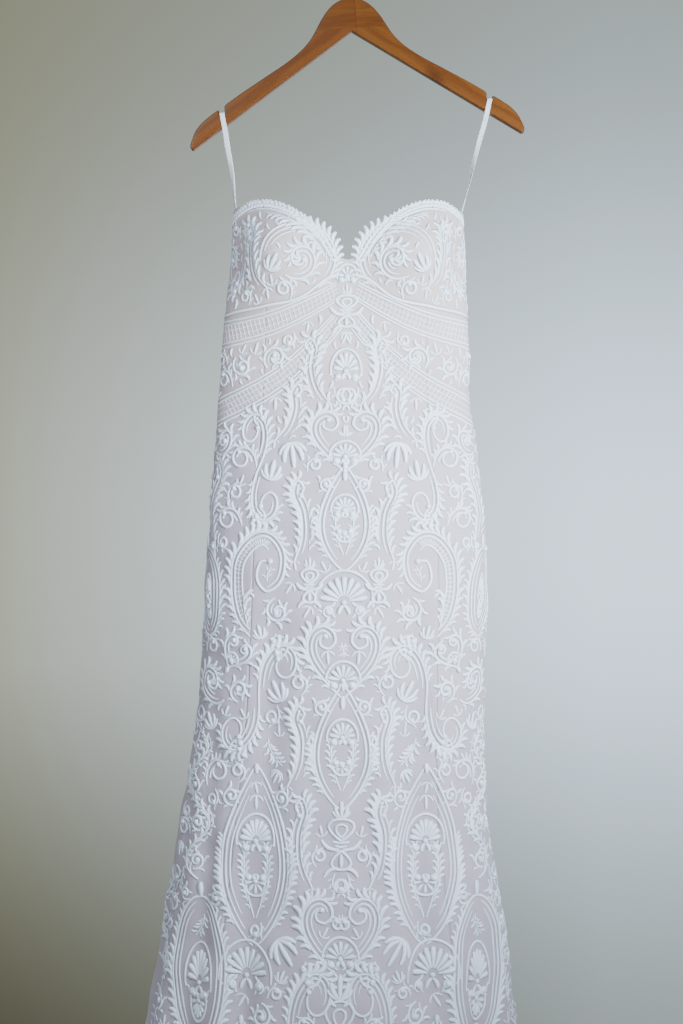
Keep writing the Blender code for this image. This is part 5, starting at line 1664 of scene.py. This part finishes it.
class GOWN_OT_hanger(bpy.types.Operator):
    """Make the wooden hanger and its wire hook"""

    bl_idname = "gown.hanger"
    bl_label = "Hanger"

    def execute(self, context):
        places = [(out, WOOD_TOP - drop, 0.0) for out, drop in hanger_outline()]
        curve, spline = drawn_curve(
            "hanger_outline", places, dimensions="2D", fill_mode="BOTH", offset=-WOOD_ROUNDING,
            extrude=WOOD_THICKNESS / 2 - WOOD_ROUNDING, bevel_depth=WOOD_ROUNDING,
            bevel_resolution=BEVEL_STEPS)
        spline.use_cyclic_u = True
        stand_up = Matrix.Rotation(math.radians(90.0), 4, "X")
        wood = curve_mesh("hanger_wood_arms", curve, stand_up, finish_of("varnished_wood"))
        self.mark_grain(wood.data)
        wood.data.transform(hanger_matrix())
        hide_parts("hanger_wood")
        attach(wood, BODY)
        self.hook()
        return {"FINISHED"}

    def mark_grain(self, mesh):
        """Store how far along and across its arm each point of the wood is."""
        slope = math.atan2(ARM_TIP[-1][1] - INNER_APEX_DROP, ARM_TIP[-1][0])
        grain = mesh.attributes.new("grain", "FLOAT_VECTOR", "POINT")
        values = []
        for vertex in mesh.vertices:
            out = abs(vertex.co.x)
            under = INNER_APEX_DROP + math.tan(slope) * out - (WOOD_TOP - vertex.co.z)
            along = out / math.cos(slope) * (1 if vertex.co.x > 0 else -1)
            values += [along, under * math.cos(slope), vertex.co.y]
        grain.data.foreach_set("vector", values)

    def hook(self):
        bend = HOOK_INNER_RADIUS + HOOK_WIRE_RADIUS
        neck = WOOD_TOP + HOOK_STEM_RISE
        path = [(0.0, WOOD_TOP - HOOK_FOOT_DEPTH), (0.0, WOOD_TOP), (0.0, neck)]
        for t in np.linspace(0.1, 0.9, HOOK_NECK_POINTS):
            path.append((HOOK_NECK_SWAY * math.sin(math.pi * t) * t, neck + HOOK_NECK_RISE * t))
        for turn in np.radians(np.linspace(*HOOK_TURN, HOOK_POINTS)):
            path.append((bend * math.cos(turn), -HOOK_INNER_RADIUS + bend * math.sin(turn)))
        curve, _spline = drawn_curve(
            "hook_wire", [(x, 0.0, z) for x, z in path], dimensions="3D",
            bevel_depth=HOOK_WIRE_RADIUS, bevel_resolution=BEVEL_STEPS, use_fill_caps=True)
        wire = curve_mesh("hanger_hook_wire", curve, hanger_matrix(), finish_of("plated_steel"))
        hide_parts("hanger_hook")
        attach(wire, BODY)


# Ribbon loops: the ribbon's section, as shares of its half width and rise, and where a loop is sewn
RIBBON_WIDTH = 0.0062
RIBBON_THICKNESS = 0.0007
RIBBON_TAIL = 0.0200
RIBBON_CLEAR = 0.0004
RIBBON_CROWN = ((-1.0, 0.3), (-0.94, 0.0), (-0.5, 0.15), (0.0, 0.3), (0.5, 0.15), (0.94, 0.0), (1.0, 0.3))
RIBBON_MEAN_RISE = 0.15
RIBBON_CROWN_SHARE = 0.6
RIBBON_WALL_SHARE = 0.8
LOOP_ANGLE = 6.0
LOOP_TWIST_END = 0.0060
LOOP_STEPS = 34
LOOP_SWAY = 0.0012
CLOTH_WALL = 0.0020


def loop_stations(side):
    """Middle line and width directions of a ribbon loop, from its front end to its back end."""
    angle = np.full(2, side * (90.0 - LOOP_ANGLE))
    edge = float(edge_height(angle)[0])
    heights = np.array([edge - RIBBON_TAIL, edge])
    inward = CLOTH_WALL + SEAM_GAP + RIBBON_THICKNESS / 2 + RIBBON_CLEAR
    normal = gown_normals(angle, heights)
    sewn, mouth = (Vector(place) for place in gown_points(angle, heights) - normal * inward)
    flat = Vector((0.0, 0.0, 1.0)).cross(Vector(normal[1])).normalized() * side
    turn = hanger_matrix()
    floor = turn @ Vector((side * NOTCH_OUT, 0.0, WOOD_TOP - NOTCH_FLOOR_DROP))
    under = turn @ Vector((side * NOTCH_OUT, 0.0, WOOD_TOP - arm_underside(NOTCH_OUT)))
    along = turn @ Vector((1.0, 0.0, 0.0))
    face = WOOD_THICKNESS / 2 + SEAM_GAP + RIBBON_THICKNESS / 2
    over = SEAM_GAP + RIBBON_THICKNESS / 2
    depth = Vector((0.0, 1.0, 0.0))
    rows = [(sewn, -flat), (sewn.lerp(mouth, 0.5), -flat), (mouth, -flat)]
    hang = under - Vector((0.0, 0.0, LOOP_TWIST_END)) - depth * face
    hang += (mouth - floor) * ((floor.z - hang.z) / (floor.z - mouth.z)) * Vector((1.0, 0.0, 0.0))
    for step in range(1, LOOP_STEPS):
        t = step / LOOP_STEPS
        swing = float(ease(t)) * math.pi / 2
        sway = LOOP_SWAY * math.sin(math.pi * t) * math.sin(5.0 * t + side)
        rows.append((mouth.lerp(hang, t) + along * sway, -flat * math.cos(swing) + along * math.sin(swing)))
    rows.append((hang, along))
    for t in (0.25, 0.5, 0.75, 0.93):
        rows.append((hang.lerp(floor - depth * face, t), along))
    for lean in (0.15, 0.4, 0.7, 0.9):
        turned_in = lean * math.pi / 2
        rows.append((floor - depth * (face - 0.0016 * (1 - math.cos(turned_in)))
                     + Vector((0.0, 0.0, over * math.sin(turned_in))), along))
    back = [(Vector((place.x, -place.y, place.z)), Vector((wide.x, -wide.y, wide.z)))
            for place, wide in reversed(rows)]
    return rows + back


class GOWN_OT_loops(bpy.types.Operator):
    """Hang the two ribbon loops over the hanger's notches"""

    bl_idname = "gown.loops"
    bl_label = "Ribbon loops"

    def execute(self, context):
        material = finish_of("satin_ribbon")
        for name, side in (("hanger_loop_left", -1.0), ("hanger_loop_right", 1.0)):
            rows = loop_stations(side)
            points = np.empty((len(rows), len(RIBBON_CROWN), 3))
            coords = np.empty((len(rows), len(RIBBON_CROWN), 2))
            far = 0.0
            for number, (place, wide) in enumerate(rows):
                before = rows[max(number - 1, 0)][0]
                after = rows[min(number + 1, len(rows) - 1)][0]
                forward = (after - before).normalized()
                wide = (wide - forward * wide.dot(forward)).normalized()
                up = forward.cross(wide)
                far += (place - rows[max(number - 1, 0)][0]).length
                for spot, (share, rise) in enumerate(RIBBON_CROWN):
                    lift = up * RIBBON_THICKNESS * (rise - RIBBON_MEAN_RISE) * RIBBON_CROWN_SHARE
                    points[number, spot] = place + wide * share * RIBBON_WIDTH / 2 + lift
                    coords[number, spot] = (share * RIBBON_WIDTH / 2, far)
            ribbon = grid_mesh(name + "_ribbon", points, material, coords)
            wall = ribbon.modifiers.new("wall", "SOLIDIFY")
            wall.thickness = RIBBON_THICKNESS * RIBBON_WALL_SHARE
            wall.offset = 0.0
            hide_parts(name)
            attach(ribbon, BODY)
        return {"FINISHED"}


class GOWN_OT_zip(bpy.types.Operator):
    """Plate the zip's slider and its pull"""

    bl_idname = "gown.zip"
    bl_label = "Zip"

    def execute(self, context):
        metal = finish_of("plated_steel")
        for node in ("zip_slider", "zip_pull"):
            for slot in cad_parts[node].material_slots:
                slot.material = metal
        return {"FINISHED"}


# Lamps: name, the setting of its power and the share of it, place, target, size, colour,
# whether it shows in shiny faces, spread in degrees
LAMPS = (
    ("key_light", "key", 1.0, (0.60, -0.80, -0.56), (0.0, 0.0, -0.60), 0.90, (0.86, 0.94, 1.0), False, 100.0),
    ("fill_light", "fill", 1.0, (-0.9, -1.1, 0.1), (0.0, 0.0, -0.30), 1.2, (0.93, 0.96, 1.0), True, 180.0),
    ("back_light", "fill", 4.0, (0.4, 1.9, 0.1), (0.0, 0.0, -0.7), 1.4, (1.0, 1.0, 1.0), False, 180.0),
)
CAMERA_PLACE = (-0.0086, -1.95, -0.734)
CAMERA_TURN = (math.radians(90.0), 0.0, 0.0)
SENSOR = 36.0
FLOOR_RADIUS = 0.95
FLOOR_HEIGHT = -1.80
FLOOR_SEGMENTS = 96
FLOOR_TONES = ((0.50, 0.50, 0.49, 1.0), (0.56, 0.56, 0.55, 1.0))

# The room's tones: left and right of the dim and the bright part, low on the left, and out of the picture
DIM_TONES = ((0.245, 0.245, 0.155, 1.0), (0.35, 0.40, 0.37, 1.0))
BRIGHT_TONES = ((0.45, 0.46, 0.330, 1.0), (1.20, 1.46, 1.74, 1.0))
LOW_LEFT_TONE = (0.055, 0.050, 0.030, 1.0)
AWAY_TONE = (0.335, 0.350, 0.365, 1.0)


class GOWN_OT_stage(bpy.types.Operator):
    """Set the floor, the light, the surroundings and the camera"""

    bl_idname = "gown.stage"
    bl_label = "Stage"

    def execute(self, context):
        stage = context.scene.stage_settings
        self.floor()
        self.surroundings(stage.room)
        for name, setting, share, place, target, size, colour, glossy, spread in LAMPS:
            self.lamp(name, getattr(stage, setting) * share, place, target, size, colour, glossy, spread)
        camera = link_object("camera", bpy.data.cameras.new("camera"))
        camera.data.lens = stage.lens
        camera.data.sensor_width = SENSOR
        camera.location = CAMERA_PLACE
        camera.rotation_euler = CAMERA_TURN
        context.scene.camera = camera
        return {"FINISHED"}

    def floor(self):
        bm = bmesh.new()
        bmesh.ops.create_circle(bm, cap_ends=True, segments=FLOOR_SEGMENTS, radius=FLOOR_RADIUS,
                                matrix=Matrix.Translation((0.0, 0.0, FLOOR_HEIGHT)))
        material, tree, shader = new_material("pale_floor")
        tone = mix_colours(tree, noise(tree, object_place(tree), 2.0), *FLOOR_TONES)
        feed(tree, shader, {"Base Color": tone, "Roughness": 0.8})
        link_mesh("floor", bm, material)

    def surroundings(self, strength):
        """A pale grey room, a little greener on the left and bluer on the right."""
        world = bpy.data.worlds.new("pale_room")
        bpy.context.scene.world = world
        world.use_nodes = True
        tree = world.node_tree
        way = add_node(tree, "ShaderNodeTexCoord").outputs["Generated"]
        parts = add_node(tree, "ShaderNodeSeparateXYZ", {"Vector": way}).outputs
        side = between(tree, parts["X"], -0.26, 0.17)
        dip = maths(tree, "DIVIDE", maths(tree, "ADD", parts["Z"], 0.02), 0.22)
        band = maths(tree, "EXPONENT", times(tree, times(tree, dip, dip), -1.0))
        dim, bright = (mix_colours(tree, side, *tones) for tones in (DIM_TONES, BRIGHT_TONES))
        tone = mix_colours(tree, band, dim, bright)
        low_left = times(tree, between(tree, parts["Z"], -0.10, -0.36),
                         maths(tree, "SUBTRACT", 1.0, times(tree, side, 0.72)))
        tone = mix_colours(tree, low_left, tone, LOW_LEFT_TONE)
        away = between(tree, maths(tree, "ABSOLUTE", parts["Z"]), 0.36, 0.56)
        away = maths(tree, "MAXIMUM", away, between(tree, parts["Y"], 0.90, 0.70))
        tone = mix_colours(tree, away, tone, AWAY_TONE)
        feed(tree, tree.nodes["Background"], {"Color": tone, "Strength": strength})

    def lamp(self, name, power, place, target, size, colour, glossy, spread):
        light = bpy.data.lights.new(name, "AREA")
        light.shape = "DISK"
        light.size = size
        light.energy = power
        light.spread = math.radians(spread)
        light.color = colour
        lamp = link_object(name, light)
        lamp.location = place
        lamp.rotation_euler = (Vector(target) - Vector(place)).to_track_quat("-Z", "Y").to_euler()
        lamp.visible_camera = False
        lamp.visible_glossy = glossy


class GOWN_PT_sidebar(bpy.types.Panel):
    """Buttons and settings for the gown"""

    bl_idname = "GOWN_PT_sidebar"
    bl_label = "Lace gown"
    bl_space_type = "VIEW_3D"
    bl_region_type = "UI"
    bl_category = "Lace gown"

    def draw(self, context):
        layout = self.layout
        for operator in OPERATORS:
            layout.operator(operator.bl_idname)
        for group in ("gown_sizes", "gown_colours", "stage_settings"):
            settings = getattr(context.scene, group)
            for name in settings.__annotations__:
                layout.prop(settings, name)


OPERATORS = (GOWN_OT_hanger, GOWN_OT_loops, GOWN_OT_cloth, GOWN_OT_lace, GOWN_OT_zip, GOWN_OT_stage)
GROUPS = (
    ("gown_sizes", GownSizes),
    ("gown_colours", GownColours),
    ("stage_settings", StageSettings),
)


def register():
    for name, group in GROUPS:
        bpy.utils.register_class(group)
        setattr(bpy.types.Scene, name, bpy.props.PointerProperty(type=group))
    for operator in OPERATORS:
        bpy.utils.register_class(operator)
    bpy.utils.register_class(GOWN_PT_sidebar)


def unregister():
    bpy.utils.unregister_class(GOWN_PT_sidebar)
    for operator in OPERATORS:
        bpy.utils.unregister_class(operator)
    for name, group in GROUPS:
        delattr(bpy.types.Scene, name)
        bpy.utils.unregister_class(group)


def main():
    register()
    bpy.ops.gown.hanger()
    bpy.ops.gown.loops()
    bpy.ops.gown.cloth()
    bpy.ops.gown.lace()
    bpy.ops.gown.zip()
    bpy.ops.gown.stage()


if __name__ == "__main__":
    main()
